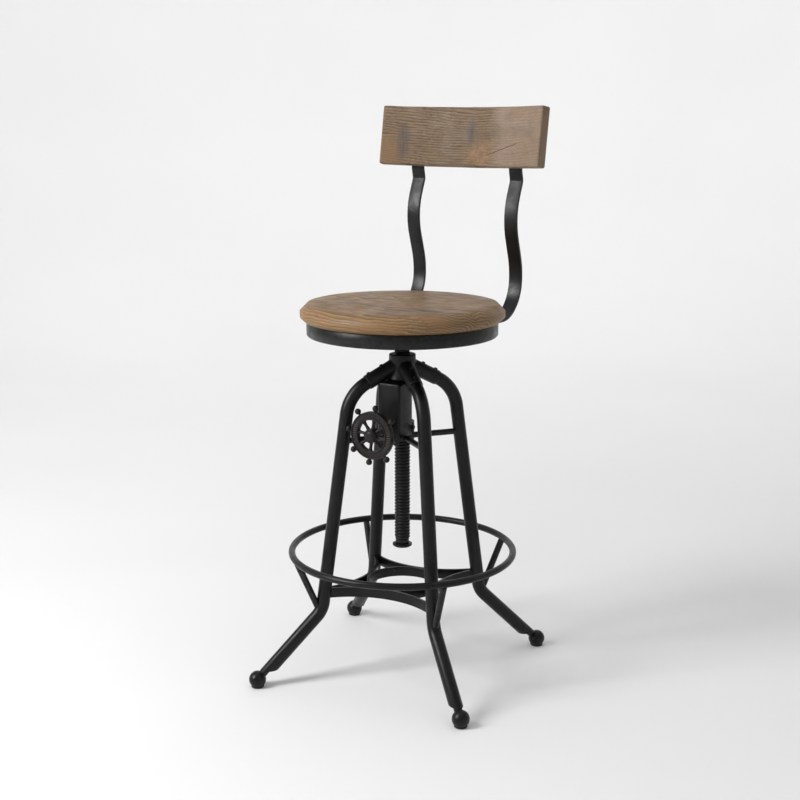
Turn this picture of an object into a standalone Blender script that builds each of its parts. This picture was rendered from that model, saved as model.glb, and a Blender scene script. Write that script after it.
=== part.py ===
"""Adjustable bar stool: four bent legs, a footrest ring, a crank-driven lift screw, a swivel seat, a backrest.

Metres, +Z up, floor at z = 0. The sitter faces -Y and the backrest is at +Y. Heights are measured from the
floor, and all other places from the lift screw's axis, because every piece hangs from an origin on that axis.
"""

import bpy
from math import asin, cos, pi, radians, sin, tan
from mathutils import Matrix, Vector

# ---------------------------------------------------------------- driving dimensions

GAP = 0.0003                      # air between touching pieces
ARC_STEP = radians(9.0)           # turn from one facet of a bend to the next
CLEAR = 0.0500                    # how far a cutting block or bar reaches past what it cuts
TIP_R = 0.0002                    # turned shapes that close on their axis end in a ring this small
ROD_SIDES = 12
AXIS_Y = -0.00294                 # the lift screw's axis, which puts the stool's box centre on the origin

# legs: each lies in a vertical plane through the screw's axis, as points (radius from the axis, height)
LEG_NAMES = ("front_right", "rear_right", "rear_left", "front_left")
LEG_TURN = radians(-37.3)         # azimuth of the front right leg
TUBE_R = 0.0120
TUBE_SIDES = 16
SOCKET_SLOPE = radians(27.5)      # sockets slope down from the hub by this much
SHOULDER = (0.1006, 0.5260)       # where the socket line meets the straight upper leg
KNEE = (0.1550, 0.1302)           # where the upper leg meets the lower leg
LEG_TOE = (0.2745, 0.0118)        # the lower leg's line runs to here
SHOULDER_BEND = 0.072
KNEE_BEND = 0.045
SPIGOT_R = 0.0095                 # the tube's reduced end inside its socket
SPIGOT_START_R = 0.0450           # radius from the axis at which that end starts
SPIGOT_LAP = 0.0040               # how far it runs on inside the tube
TUBE_CUT_Z = 0.0300               # the lower end is cut off level at this height
NECK_R = 0.0074                   # the bar that runs on from the tube's upper side into the foot ball
NECK_RISE = 0.0044                # how far the bar's axis lies above the tube's
NECK_START = (0.2100, 0.0757)     # where on the tube's axis the bar starts

FOOT_R = 0.2784                   # radius from the axis of the foot balls
BALL_R = 0.0155
BALL_Z = 0.0145
GLIDE_R = 0.0118
GLIDE_H = 0.0045
GLIDE_EDGE = 0.0016

# hub casting
HUB_TOP = 0.5925
HUB_BOTTOM = 0.5465
COLLAR_R = 0.0240
HUB_BORE_R = 0.0147
ARM_W_IN = 0.0165                 # half width and half height of a socket where it leaves the hub
ARM_H_IN = 0.0155
ARM_R_OUT = 0.0136
ARM_START_R = 0.0170
ARM_END_R = 0.0670                # radius from the axis at which a socket ends
SOCKET_SCREWS = (0.0342, 0.0581)  # radii from the axis of the two screws on a socket
SOCKET_SCREW_R = 0.0034
SOCKET_SCREW_H = 0.0020
GUIDE_DROP = 0.0090               # the guide screw's axis lies this far below the hub's top
GUIDE_HEAD_R = 0.0045
GUIDE_SHANK_R = 0.0030
GUIDE_TIP_R = 0.0011              # the pin that runs in the keyway
GUIDE_TIP_START = 0.0117          # radius from the lift screw's axis at which the pin ends

# footrest ring and braces
RING_R = 0.2020
RING_ROD_R = 0.0065
RING_Z = 0.2270
STRUT_R = 0.0060
STRUT_FOOT = (0.1590, 0.1260)     # inside the knee
BRACE_Z = (0.1533, 0.1712)
BRACE_T = 0.0045
STRAP_BULGE_R = 0.0685            # radius from the axis of a strap's middle
STRAP_SIDE = 0.0028               # how far beside a leg's plane a strap meets the leg
HOOP_R = STRAP_BULGE_R - BRACE_T - GAP
STAY_R = 0.0055
STAY_Z = 0.4414

# gear bracket and nut housing
BRACKET_W = 0.0460
BRACKET_FRONT = -0.0470
BRACKET_BACK = -0.0047
BRACKET_Z = (0.4475, 0.5462)
PLATE_T = 0.0035
BRACKET_FOLD = 0.0032             # rounding of the bracket's front edges
BRACKET_CLEAR = 0.0012            # air between the bracket and the lift screw
HOUSING_R = 0.0216
HOUSING_BORE_R = 0.0183
HOUSING_Z = (0.4350, 0.4472)
HOUSING_BACK_Z = 0.4700
HOUSING_FLOOR_T = 0.0035
BOLT_Z = 0.4600
BOLT_R = 0.0042
BOLT_HEAD_H = 0.0030

# crank wheel, shaft and gears; the shaft runs along Y
WHEEL_Y = -0.0990
WHEEL_Z = 0.4620
WHEEL_PHASE = radians(8.0)        # first handle, from straight up toward +X
SPOKES = 8
RIM_R_OUT = 0.0425
RIM_R_IN = 0.0278
RIM_T = 0.0100
WHEEL_HUB_R = 0.0124
WHEEL_HUB_L = 0.0180
KNOB_R = 0.0055
KNOB_CENTRE_R = 0.0492
SPOKE_R = 0.0034
SPOKE_WAIST_R = 0.0027
CAP_R = 0.0110
CAP_RISE = 0.0030
SHAFT_DEPTH = 0.0027              # how far the shaft runs into the wheel's front half
SHAFT_R = 0.0050
BUSH_R = 0.0085
BUSH_FLANGE_R = 0.0115
BUSH_FLANGE_T = 0.0028
PINION_TEETH = 10
GEAR_TEETH = 18
PINION_TIP_R = 0.0100
PINION_ROOT_R = 0.0080
PINION_Y = (-0.0215, -0.0144)
GEAR_RADII = (0.0152, 0.0180)
GEAR_ROOT_Z = 0.4500
GEAR_TIP_Z = 0.4530
NUT_HUB_R = 0.0165
NUT_BORE_R = 0.0146

# lift screw
CREST_R = 0.0142
ROOT_R = 0.0124
PITCH = 0.0060
THREAD_Z = (0.2470, 0.6000)
SCREW_BOTTOM = 0.2403
SCREW_SHOULDER_Z = 0.6240
JOURNAL_R = 0.0090
JOURNAL_TOP = 0.6475
RETAINER_R = 0.0130
RETAINER_T = 0.0020
RETAINER_DROP = 0.0030            # the retaining ring's underside lies this far below the journal's top
KEYWAY_R = 0.0112
KEYWAY_HALF = radians(6.5)
KEYWAY_AZIMUTH = LEG_TURN + radians(135.0)
STOP_R = 0.0178
STOP_Z = (0.2340, 0.2400)
THRUST_R = 0.0210
THRUST_Z = (0.6085, 0.6240)

# seat
PAN_R = 0.1700
PAN_Z = (0.6276, 0.6530)
PAN_T = 0.0030
RIM_BAND_T = 0.0040
BOSS_R = 0.0200
BOSS_FLANGE_R = 0.0500
WOOD_R = 0.1817
WOOD_Z = (0.6533, 0.6830)
WOOD_EDGE = 0.0105                # rounding of the seat's upper edge
WOOD_UNDER = 0.0075               # and of its lower edge
CENTRE_R = 0.0010                 # the wide discs close on their axis in a ring this small

# uprights: the centre line of the left one as points (y, z), with the bend at each inner point
UPRIGHT_X = 0.1045
UPRIGHT_W = 0.0250
UPRIGHT_T = 0.0060
UPRIGHT_POINTS = ((0.1200, 0.6400), (0.2310, 0.6400), (0.2310, 0.7317), (0.2001, 0.8240),
                  (0.2280, 0.8885), (0.2232, 0.9090), (0.2368, 0.9950))
UPRIGHT_BENDS = (0.070, 0.120, 0.110, 0.012, 0.015)

# backrest: a plank bent to an arc whose hollow side faces the sitter, and leaning back
BACK_FRONT_Y = 0.2043             # front face at its lower edge, in the middle
BACK_HALF_W = 0.1683
BACK_ARC_R = 0.7030
BACK_Z = 0.9133
BACK_H = 0.1098
BACK_T = 0.0217
BACK_LEAN = radians(9.0)
BACK_EDGE = 0.0035                # rounding of all its edges
BACK_SCREW_HEIGHTS = (0.0300, 0.0700)   # above the plank's lower edge, along its lean

# ---------------------------------------------------------------- materials


def make_material(name, colour, roughness, metallic):
    material = bpy.data.materials.new(name)
    material.use_nodes = True
    shader = material.node_tree.nodes["Principled BSDF"]
    shader.inputs["Base Color"].default_value = (*colour, 1.0)
    shader.inputs["Roughness"].default_value = roughness
    shader.inputs["Metallic"].default_value = metallic
    material.diffuse_color = (*colour, 1.0)
    return material


FINISHES = {
    "black_coat": ((0.020, 0.020, 0.021), 0.45, 0.6),
    "black_screw": ((0.030, 0.028, 0.026), 0.42, 0.9),
    "black_cast": ((0.028, 0.026, 0.025), 0.50, 0.8),
    "steel": ((0.350, 0.340, 0.330), 0.35, 1.0),
    "rubber": ((0.015, 0.015, 0.015), 0.80, 0.0),
    "seat_wood": ((0.300, 0.190, 0.110), 0.60, 0.0),
    "back_wood": ((0.260, 0.160, 0.095), 0.60, 0.0),
}

# ---------------------------------------------------------------- mesh helpers


def polar(radius, azimuth, z):
    return Vector((radius * cos(azimuth), radius * sin(azimuth), z))


def add_piece(name, finish, verts, faces, parent, flat=False):
    """One named object under its parent; the vertices are measured from the parent's own place."""
    mesh = bpy.data.meshes.new(name)
    mesh.from_pydata([tuple(v) for v in verts], [], faces)
    mesh.validate()
    if flat:
        mesh.shade_flat()
    else:
        mesh.shade_smooth()
        mesh.set_sharp_from_angle(angle=radians(35.0))
    piece = bpy.data.objects.new(name, mesh)
    bpy.context.scene.collection.objects.link(piece)
    if finish:
        mesh.materials.append(make_material(name, *FINISHES[finish]))
    piece.parent = parent
    return piece


def loft(rings, closed=False):
    """Quads between equal rings of points; closed joins the last to the first, else both ends are capped."""
    count = len(rings[0])
    verts = [point for ring in rings for point in ring]
    faces = []
    steps = len(rings) if closed else len(rings) - 1
    for i in range(steps):
        a = i * count
        b = ((i + 1) % len(rings)) * count
        for k in range(count):
            n = (k + 1) % count
            faces.append((a + k, a + n, b + n, b + k))
    if not closed:
        faces.append(tuple(reversed(range(count))))
        faces.append(tuple((len(rings) - 1) * count + k for k in range(count)))
    return verts, faces


def outward(verts, faces):
    """Turns every face over when the closed mesh encloses a negative volume."""
    volume = 0.0
    for face in faces:
        a = Vector(verts[face[0]])
        for j in range(1, len(face) - 1):
            volume += a.dot(Vector(verts[face[j]]).cross(Vector(verts[face[j + 1]])))
    if volume < 0.0:
        faces = [tuple(reversed(face)) for face in faces]
    return verts, faces


def turned(profile, sides, bored=False, place=Matrix()):
    """A solid turned about local Z from (radius, z) points; a bored profile is a closed loop off the axis."""
    rings = []
    for radius, z in profile:
        rings.append([place @ polar(radius, 2.0 * pi * k / sides, z) for k in range(sides)])
    return outward(*loft(rings, closed=bored))


def circle_section(radius, sides):
    return [(radius * cos(2.0 * pi * k / sides), radius * sin(2.0 * pi * k / sides)) for k in range(sides)]


def bar_section(width, thickness):
    across = width / 2.0
    through = thickness / 2.0
    return [(across, through), (-across, through), (-across, -through), (across, -through)]


def facing(direction, place):
    """The frame at a place whose Z points along a direction."""
    return Matrix.Translation(place) @ direction.to_track_quat("Z", "Y").to_matrix().to_4x4()


def swept(points, section, side):
    """A section carried along a flat path; side is the plane's normal and the section's first direction."""
    rings = []
    for i, point in enumerate(points):
        into = (point - points[max(i - 1, 0)]).normalized()
        out = (points[min(i + 1, len(points) - 1)] - point).normalized()
        ahead = (into + out).normalized()
        up = ahead.cross(side).normalized()
        stretch = 1.0 / ahead.dot(out if out.length else into)
        rings.append([point + side * a + up * (b * stretch) for a, b in section])
    return outward(*loft(rings))


def rounded_path(points, bends):
    """A polyline in a plane, as (u, v) points, with an arc of the given radius at each inner point."""
    path = [Vector(points[0])]
    for i, radius in enumerate(bends):
        corner = Vector(points[i + 1])
        into = (corner - Vector(points[i])).normalized()
        out = (Vector(points[i + 2]) - corner).normalized()
        turn = into.angle(out)
        reach = radius * tan(turn / 2.0)
        start = corner - into * reach
        towards = (out - into * into.dot(out)).normalized()
        centre = start + towards * radius
        steps = max(round(turn / ARC_STEP), 1)
        for k in range(steps + 1):
            a = turn * k / steps
            path.append(centre - towards * (radius * cos(a)) + into * (radius * sin(a)))
    path.append(Vector(points[-1]))
    return path


def box(low, high):
    x0, y0, z0 = low
    x1, y1, z1 = high
    corners = ((x0, y0), (x1, y0), (x1, y1), (x0, y1))
    return outward(*loft([[Vector((x, y, z)) for x, y in corners] for z in (z0, z1)]))


def rod(start, end, radius, sides):
    axis = end - start
    return turned([(radius, 0.0), (radius, axis.length)], sides, place=facing(axis, start))


def add_cutter(name, shape, parent):
    cutter = add_piece(name, None, *shape, parent)
    cutter.hide_render = True
    cutter.display_type = "WIRE"
    return cutter


def apply_boolean(piece, cutter, operation):
    step = piece.modifiers.new(operation.lower(), "BOOLEAN")
    step.operation = operation
    step.solver = "EXACT"
    step.object = cutter


def add_bevel(piece, width, segments):
    step = piece.modifiers.new("edges", "BEVEL")
    step.width = width
    step.segments = segments
    step.limit_method = "ANGLE"
    step.angle_limit = radians(40.0)
    return step


def add_origin(name, place):
    empty = bpy.data.objects.new(name, None)
    empty.empty_display_size = 0.05
    empty.location = place
    bpy.context.scene.collection.objects.link(empty)
    return empty


# ---------------------------------------------------------------- legs and feet


def leg_azimuth(index):
    return LEG_TURN + index * pi / 2.0


def leg_path():
    start_r = ARM_END_R + GAP
    start = (start_r, SHOULDER[1] + (SHOULDER[0] - start_r) * tan(SOCKET_SLOPE))
    return rounded_path((start, SHOULDER, KNEE, LEG_TOE), (SHOULDER_BEND, KNEE_BEND))


def leg_shape(azimuth, radius, sides):
    points = [polar(p.x, azimuth, p.y) for p in leg_path()]
    side = polar(1.0, azimuth + pi / 2.0, 0.0)
    return swept(points, circle_section(radius, sides), side)


def build_legs(base):
    fat_legs = []
    for index, name in enumerate(LEG_NAMES):
        azimuth = leg_azimuth(index)
        leg = add_piece(f"leg_{name}", "black_coat", *leg_shape(azimuth, TUBE_R, TUBE_SIDES), base)
        inner = socket_axis(azimuth, SPIGOT_START_R)
        outer = socket_axis(azimuth, ARM_END_R + SPIGOT_LAP)
        spigot = rod(inner, outer, SPIGOT_R, ROD_SIDES)
        apply_boolean(leg, add_cutter(f"spigot_{name}", spigot, base), "UNION")
        foot = polar(FOOT_R, azimuth, 0.0)
        below = box((foot.x - CLEAR, foot.y - CLEAR, -CLEAR), (foot.x + CLEAR, foot.y + CLEAR, TUBE_CUT_Z))
        apply_boolean(leg, add_cutter(f"cut_level_{name}", below, base), "DIFFERENCE")
        apply_boolean(leg, add_cutter(f"neck_{name}", neck_shape(azimuth), base), "UNION")
        whole_ball = ball_shape(foot, BALL_R + GAP, BALL_Z - BALL_R - GAP)
        apply_boolean(leg, add_cutter(f"cut_ball_{name}", whole_ball, base), "DIFFERENCE")
        fat = leg_shape(azimuth, TUBE_R + GAP, TUBE_SIDES)
        fat_legs.append(add_cutter(f"cut_leg_{name}", fat, base))
        build_foot(name, foot, base)
    return fat_legs


def neck_shape(azimuth):
    """The bar that carries the foot ball, along the inside of the lower leg's upper wall."""
    start = polar(NECK_START[0], azimuth, NECK_START[1])
    end = polar(LEG_TOE[0], azimuth, LEG_TOE[1])
    rise = (end - start).cross(polar(1.0, azimuth + pi / 2.0, 0.0)).normalized() * NECK_RISE
    if rise.z < 0.0:
        rise = -rise
    return rod(start + rise, end + rise, NECK_R, ROD_SIDES)


def ball_shape(foot, radius, flat_z):
    """A ball whose underside is cut flat at flat_z."""
    low = asin((BALL_Z - flat_z) / radius)
    rows = 8
    angles = [-low + (pi / 2.0 + low) * k / rows for k in range(rows + 1)]
    profile = [(max(radius * cos(a), TIP_R), BALL_Z + radius * sin(a)) for a in angles]
    return turned(profile, 14, place=Matrix.Translation(foot))


def build_foot(name, foot, base):
    add_piece(f"foot_ball_{name}", "black_coat", *ball_shape(foot, BALL_R, GLIDE_H + GAP), base)
    profile = [(GLIDE_R - GLIDE_EDGE, 0.0), (GLIDE_R, GLIDE_EDGE), (GLIDE_R, GLIDE_H)]
    place = Matrix.Translation(foot)
    add_piece(f"foot_glide_{name}", "rubber", *turned(profile, 14, place=place), base)


# ---------------------------------------------------------------- hub casting


def socket_axis(azimuth, radius):
    """The point on a socket's axis at this radius from the screw."""
    return polar(radius, azimuth, SHOULDER[1] + (SHOULDER[0] - radius) * tan(SOCKET_SLOPE))


def arm_shape(azimuth, grow=0.0):
    """A socket's outer body, from an upright oval inside the hub to a round end square to its axis."""
    side = polar(1.0, azimuth + pi / 2.0, 0.0)
    root = socket_axis(azimuth, ARM_START_R)
    end = socket_axis(azimuth, ARM_END_R)
    square_up = side.cross(root - end).normalized()
    up = Vector((0.0, 0.0, 1.0))
    inner = [root + side * (a * (ARM_W_IN + grow)) + up * (b * (ARM_H_IN + grow))
             for a, b in circle_section(1.0, TUBE_SIDES)]
    outer = [end + side * a + square_up * b for a, b in circle_section(ARM_R_OUT + grow, TUBE_SIDES)]
    return outward(*loft([inner, outer]))


def build_hub(base):
    edge = 0.0015
    profile = [(COLLAR_R - edge, HUB_BOTTOM), (COLLAR_R, HUB_BOTTOM + edge),
               (COLLAR_R, HUB_TOP - edge), (COLLAR_R - edge, HUB_TOP)]
    hub = add_piece("hub_casting", "black_cast", *turned(profile, 28), base)
    for index, name in enumerate(LEG_NAMES):
        azimuth = leg_azimuth(index)
        apply_boolean(hub, add_cutter(f"arm_{name}", arm_shape(azimuth), base), "UNION")
    for index, name in enumerate(LEG_NAMES):
        azimuth = leg_azimuth(index)
        inner = socket_axis(azimuth, SPIGOT_START_R - GAP)
        outer = socket_axis(azimuth, ARM_END_R + CLEAR)
        socket = rod(inner, outer, SPIGOT_R + GAP, ROD_SIDES)
        apply_boolean(hub, add_cutter(f"socket_{name}", socket, base), "DIFFERENCE")
        build_socket_screws(name, azimuth, base)
    bore = turned([(HUB_BORE_R, HUB_BOTTOM - CLEAR), (HUB_BORE_R, HUB_TOP + CLEAR)], 28)
    apply_boolean(hub, add_cutter("hub_bore", bore, base), "DIFFERENCE")
    guide = Vector((0.0, 0.0, HUB_TOP - GUIDE_DROP))
    outside = guide + polar(CLEAR, KEYWAY_AZIMUTH, 0.0)
    hole = rod(guide, outside, GUIDE_SHANK_R + GAP, ROD_SIDES)
    apply_boolean(hub, add_cutter("guide_hole", hole, base), "DIFFERENCE")
    build_guide_screw(guide, base)


def build_socket_screws(name, azimuth, base):
    """Low domes on top of a socket, standing square to its sloping upper side."""
    along = (socket_axis(azimuth, 1.0) - socket_axis(azimuth, 0.0)).normalized()
    side = polar(1.0, azimuth + pi / 2.0, 0.0)
    up = along.cross(side)
    for label, radius in zip(("inner", "outer"), SOCKET_SCREWS):
        share = (radius - ARM_START_R) / (ARM_END_R - ARM_START_R)
        surface = ARM_H_IN * cos(SOCKET_SLOPE) * (1.0 - share) + ARM_R_OUT * share
        seat = socket_axis(azimuth, radius) + up * (surface + GAP)
        profile = [(SOCKET_SCREW_R, 0.0), (SOCKET_SCREW_R, 0.35 * SOCKET_SCREW_H),
                   (0.6 * SOCKET_SCREW_R, SOCKET_SCREW_H)]
        dome = turned(profile, 10, place=facing(up, seat))
        add_piece(f"socket_screw_{label}_{name}", "black_coat", *dome, base)


def build_guide_screw(guide, base):
    """The screw through the hub whose pin keeps the lift screw from turning."""
    under_head = COLLAR_R + GAP
    head_top = under_head + 0.0032
    chamfer = 0.0008
    profile = [(GUIDE_TIP_R, GUIDE_TIP_START), (GUIDE_TIP_R, CREST_R + GAP),
               (GUIDE_SHANK_R, HUB_BORE_R + GAP), (GUIDE_SHANK_R, under_head), (GUIDE_HEAD_R, under_head),
               (GUIDE_HEAD_R, head_top - chamfer), (GUIDE_HEAD_R - chamfer, head_top)]
    place = facing(polar(1.0, KEYWAY_AZIMUTH, 0.0), guide)
    add_piece("guide_screw", "steel", *turned(profile, 10, place=place), base)


# ---------------------------------------------------------------- footrest ring and braces


def build_ring(base, fat_legs):
    sides = 56
    points = [polar(RING_R, 2.0 * pi * k / sides, RING_Z) for k in range(sides)]
    rings = []
    for point in points:
        away = Vector((point.x, point.y, 0.0)).normalized()
        section = circle_section(RING_ROD_R, 10)
        rings.append([point + away * a + Vector((0.0, 0.0, b)) for a, b in section])
    add_piece("footrest_ring", "black_coat", *outward(*loft(rings, closed=True)), base)
    for index, name in enumerate(LEG_NAMES):
        azimuth = leg_azimuth(index)
        foot = polar(STRUT_FOOT[0], azimuth, STRUT_FOOT[1])
        top = polar(RING_R, azimuth, RING_Z)
        aim = (top - foot).normalized()
        strut_shape = rod(foot, top - aim * (RING_ROD_R + GAP), STRUT_R, ROD_SIDES)
        strut = add_piece(f"ring_strut_{name}", "black_coat", *strut_shape, base)
        apply_boolean(strut, fat_legs[index], "DIFFERENCE")


def leg_radius_at(z):
    """Radius from the axis of the straight upper leg's centre line at a height between knee and shoulder."""
    share = (z - KNEE[1]) / (SHOULDER[1] - KNEE[1])
    return KNEE[0] + (SHOULDER[0] - KNEE[0]) * share


def build_braces(base, fat_legs):
    """Straps bent in toward the screw's axis between neighbouring legs, and the hoop inside them."""
    middle_z = sum(BRACE_Z) / 2.0
    height = BRACE_Z[1] - BRACE_Z[0]
    leg_offset = leg_radius_at(middle_z) * sin(pi / 4.0)
    half_chord = leg_offset - STRAP_SIDE * sin(pi / 4.0)
    bulge = leg_offset + STRAP_SIDE * sin(pi / 4.0) - STRAP_BULGE_R
    arc_r = (half_chord ** 2 + bulge ** 2) / (2.0 * bulge)
    half_turn = asin(half_chord / arc_r)
    section = bar_section(height, BRACE_T)
    up = Vector((0.0, 0.0, 1.0))
    for index, name in enumerate(("right", "rear", "left", "front")):
        outward_azimuth = leg_azimuth(index) + pi / 4.0
        centre = polar(STRAP_BULGE_R + arc_r, outward_azimuth, middle_z)
        steps = 12
        turns = [half_turn * (2.0 * k / steps - 1.0) for k in range(steps + 1)]
        points = [centre + polar(arc_r, outward_azimuth + pi + turn, 0.0) for turn in turns]
        strap = add_piece(f"brace_strap_{name}", "black_coat", *swept(points, section, up), base)
        apply_boolean(strap, fat_legs[index], "DIFFERENCE")
        apply_boolean(strap, fat_legs[(index + 1) % 4], "DIFFERENCE")
    inner = HOOP_R - BRACE_T / 2.0
    outer = HOOP_R + BRACE_T / 2.0
    low, high = BRACE_Z
    profile = [(inner, low), (outer, low), (outer, high), (inner, high)]
    add_piece("brace_hoop", "black_coat", *turned(profile, 40, bored=True), base)


def build_stays(base, fat_legs):
    for index, name in enumerate(LEG_NAMES):
        azimuth = leg_azimuth(index)
        start = polar(HOUSING_R + GAP, azimuth, STAY_Z)
        end = polar(leg_radius_at(STAY_Z), azimuth, STAY_Z)
        stay = add_piece(f"stay_rod_{name}", "black_coat", *rod(start, end, STAY_R, ROD_SIDES), base)
        apply_boolean(stay, fat_legs[index], "DIFFERENCE")


# ---------------------------------------------------------------- gear bracket and nut housing


def build_bracket(base):
    half = BRACKET_W / 2.0
    low, high = BRACKET_Z
    outer = box((-half, BRACKET_FRONT, low), (half, BRACKET_BACK, high))
    bracket = add_piece("gear_bracket", "black_coat", *outer, base)
    rounding = add_bevel(bracket, BRACKET_FOLD, 3)
    rounding.limit_method = "VGROUP"
    rounded = bracket.vertex_groups.new(name="folded_edges")
    rounding.vertex_group = rounded.name
    front_edges = [v.index for v in bracket.data.vertices if v.co.y < BRACKET_FRONT + GAP]
    rounded.add(front_edges, 1.0, "REPLACE")
    hollow = box((-half + PLATE_T, BRACKET_FRONT + PLATE_T, low - CLEAR),
                 (half - PLATE_T, BRACKET_BACK + CLEAR, high - PLATE_T))
    apply_boolean(bracket, add_cutter("bracket_hollow", hollow, base), "DIFFERENCE")
    notch_r = CREST_R + BRACKET_CLEAR
    notch = turned([(notch_r, low - CLEAR), (notch_r, high + CLEAR)], 32)
    apply_boolean(bracket, add_cutter("bracket_notch", notch, base), "DIFFERENCE")
    for index in (0, 3):
        arm = arm_shape(leg_azimuth(index), grow=2.0 * GAP)
        apply_boolean(bracket, add_cutter(f"bracket_arm_{index}", arm, base), "DIFFERENCE")
    plate_front = Vector((0.0, BRACKET_FRONT, WHEEL_Z))
    through = Vector((0.0, 2.0 * PLATE_T, 0.0))
    hole = rod(plate_front - through, plate_front + through, BUSH_R + GAP, 24)
    apply_boolean(bracket, add_cutter("bush_hole", hole, base), "DIFFERENCE")
    place = facing(Vector((0.0, -1.0, 0.0)), plate_front)
    bore = SHAFT_R + GAP
    back = -PLATE_T - 0.0020
    chamfer = 0.0006
    profile = [(bore, back), (BUSH_R, back), (BUSH_R, GAP), (BUSH_FLANGE_R, GAP),
               (BUSH_FLANGE_R, BUSH_FLANGE_T - chamfer), (BUSH_FLANGE_R - chamfer, BUSH_FLANGE_T),
               (bore, BUSH_FLANGE_T)]
    add_piece("shaft_bush", "black_cast", *turned(profile, 16, bored=True, place=place), base)


def build_housing(base):
    low, high = HOUSING_Z
    floor = low + HOUSING_FLOOR_T
    hole = CREST_R + 0.0008
    chamfer = 0.0010
    cup = [(hole, low), (HOUSING_R - chamfer, low), (HOUSING_R, low + chamfer), (HOUSING_R, high),
           (HOUSING_BORE_R, high), (HOUSING_BORE_R, floor), (hole, floor)]
    housing = add_piece("nut_housing", "black_cast", *turned(cup, 28, bored=True), base)
    wall_low = high - 0.002
    wall = turned([(HOUSING_BORE_R, wall_low), (HOUSING_R, wall_low), (HOUSING_R, HOUSING_BACK_Z),
                   (HOUSING_BORE_R, HOUSING_BACK_Z)], 28, bored=True)
    back_wall = add_cutter("housing_back_wall", wall, base)
    front_y = BRACKET_BACK + GAP
    front = box((-CLEAR, -CLEAR, wall_low - CLEAR), (CLEAR, front_y, HOUSING_BACK_Z + CLEAR))
    apply_boolean(back_wall, add_cutter("housing_front", front, base), "DIFFERENCE")
    apply_boolean(housing, back_wall, "UNION")
    for label, sign in (("left", -1.0), ("right", 1.0)):
        seat = Vector((sign * (HOUSING_R + GAP), 0.0, BOLT_Z))
        tip = seat + Vector((sign * BOLT_HEAD_H, 0.0, 0.0))
        add_piece(f"housing_bolt_{label}", "black_screw", *rod(seat, tip, BOLT_R, 6), base, flat=True)


# ---------------------------------------------------------------- crank wheel, shaft and gears


def toothed(teeth, low, high, tooth_share, flank_share):
    """Height or radius round one turn, as (turn fraction, value) points of straight-flanked teeth."""
    points = []
    for k in range(teeth):
        middle = k / teeth
        half_tip = tooth_share / (2.0 * teeth)
        flank = flank_share / teeth
        points += [(middle - half_tip - flank, low), (middle - half_tip, high),
                   (middle + half_tip, high), (middle + half_tip + flank, low)]
    return points


def build_gear_nut(nut):
    """A threaded bush with a ring of upright teeth on its upper rim; measured from the nut's origin."""
    hub_low = HOUSING_Z[0] + HOUSING_FLOOR_T + GAP
    shoulder = HOUSING_Z[1] + 2.0 * GAP
    hub_high = GEAR_ROOT_Z - 2.0 * GAP
    tooth_in, tooth_out = GEAR_RADII
    rows = []
    for share, tip_z in toothed(GEAR_TEETH, GEAR_ROOT_Z, GEAR_TIP_Z, 0.24, 0.09):
        azimuth = -pi / 2.0 + 2.0 * pi * (share + 0.5 / GEAR_TEETH)
        loop = [(NUT_BORE_R, hub_low), (NUT_HUB_R, hub_low), (NUT_HUB_R, shoulder), (tooth_out, shoulder),
                (tooth_out, tip_z), (tooth_in, tip_z), (tooth_in, hub_high), (NUT_BORE_R, hub_high)]
        rows.append([polar(radius, azimuth, z - nut.location.z) for radius, z in loop])
    add_piece("gear_nut", "steel", *outward(*loft(rows, closed=True)), nut, flat=True)


def build_pinion(crank):
    outline = []
    for share, radius in toothed(PINION_TEETH, PINION_ROOT_R, PINION_TIP_R, 0.20, 0.10):
        turn = -pi / 2.0 + 2.0 * pi * share
        outline.append((radius * cos(turn), radius * sin(turn)))
    near, far = (y - WHEEL_Y for y in PINION_Y)
    rings = [[Vector((x, y, z)) for x, z in outline] for y in (near, far)]
    add_piece("pinion", "steel", *outward(*loft(rings)), crank, flat=True)


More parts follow.
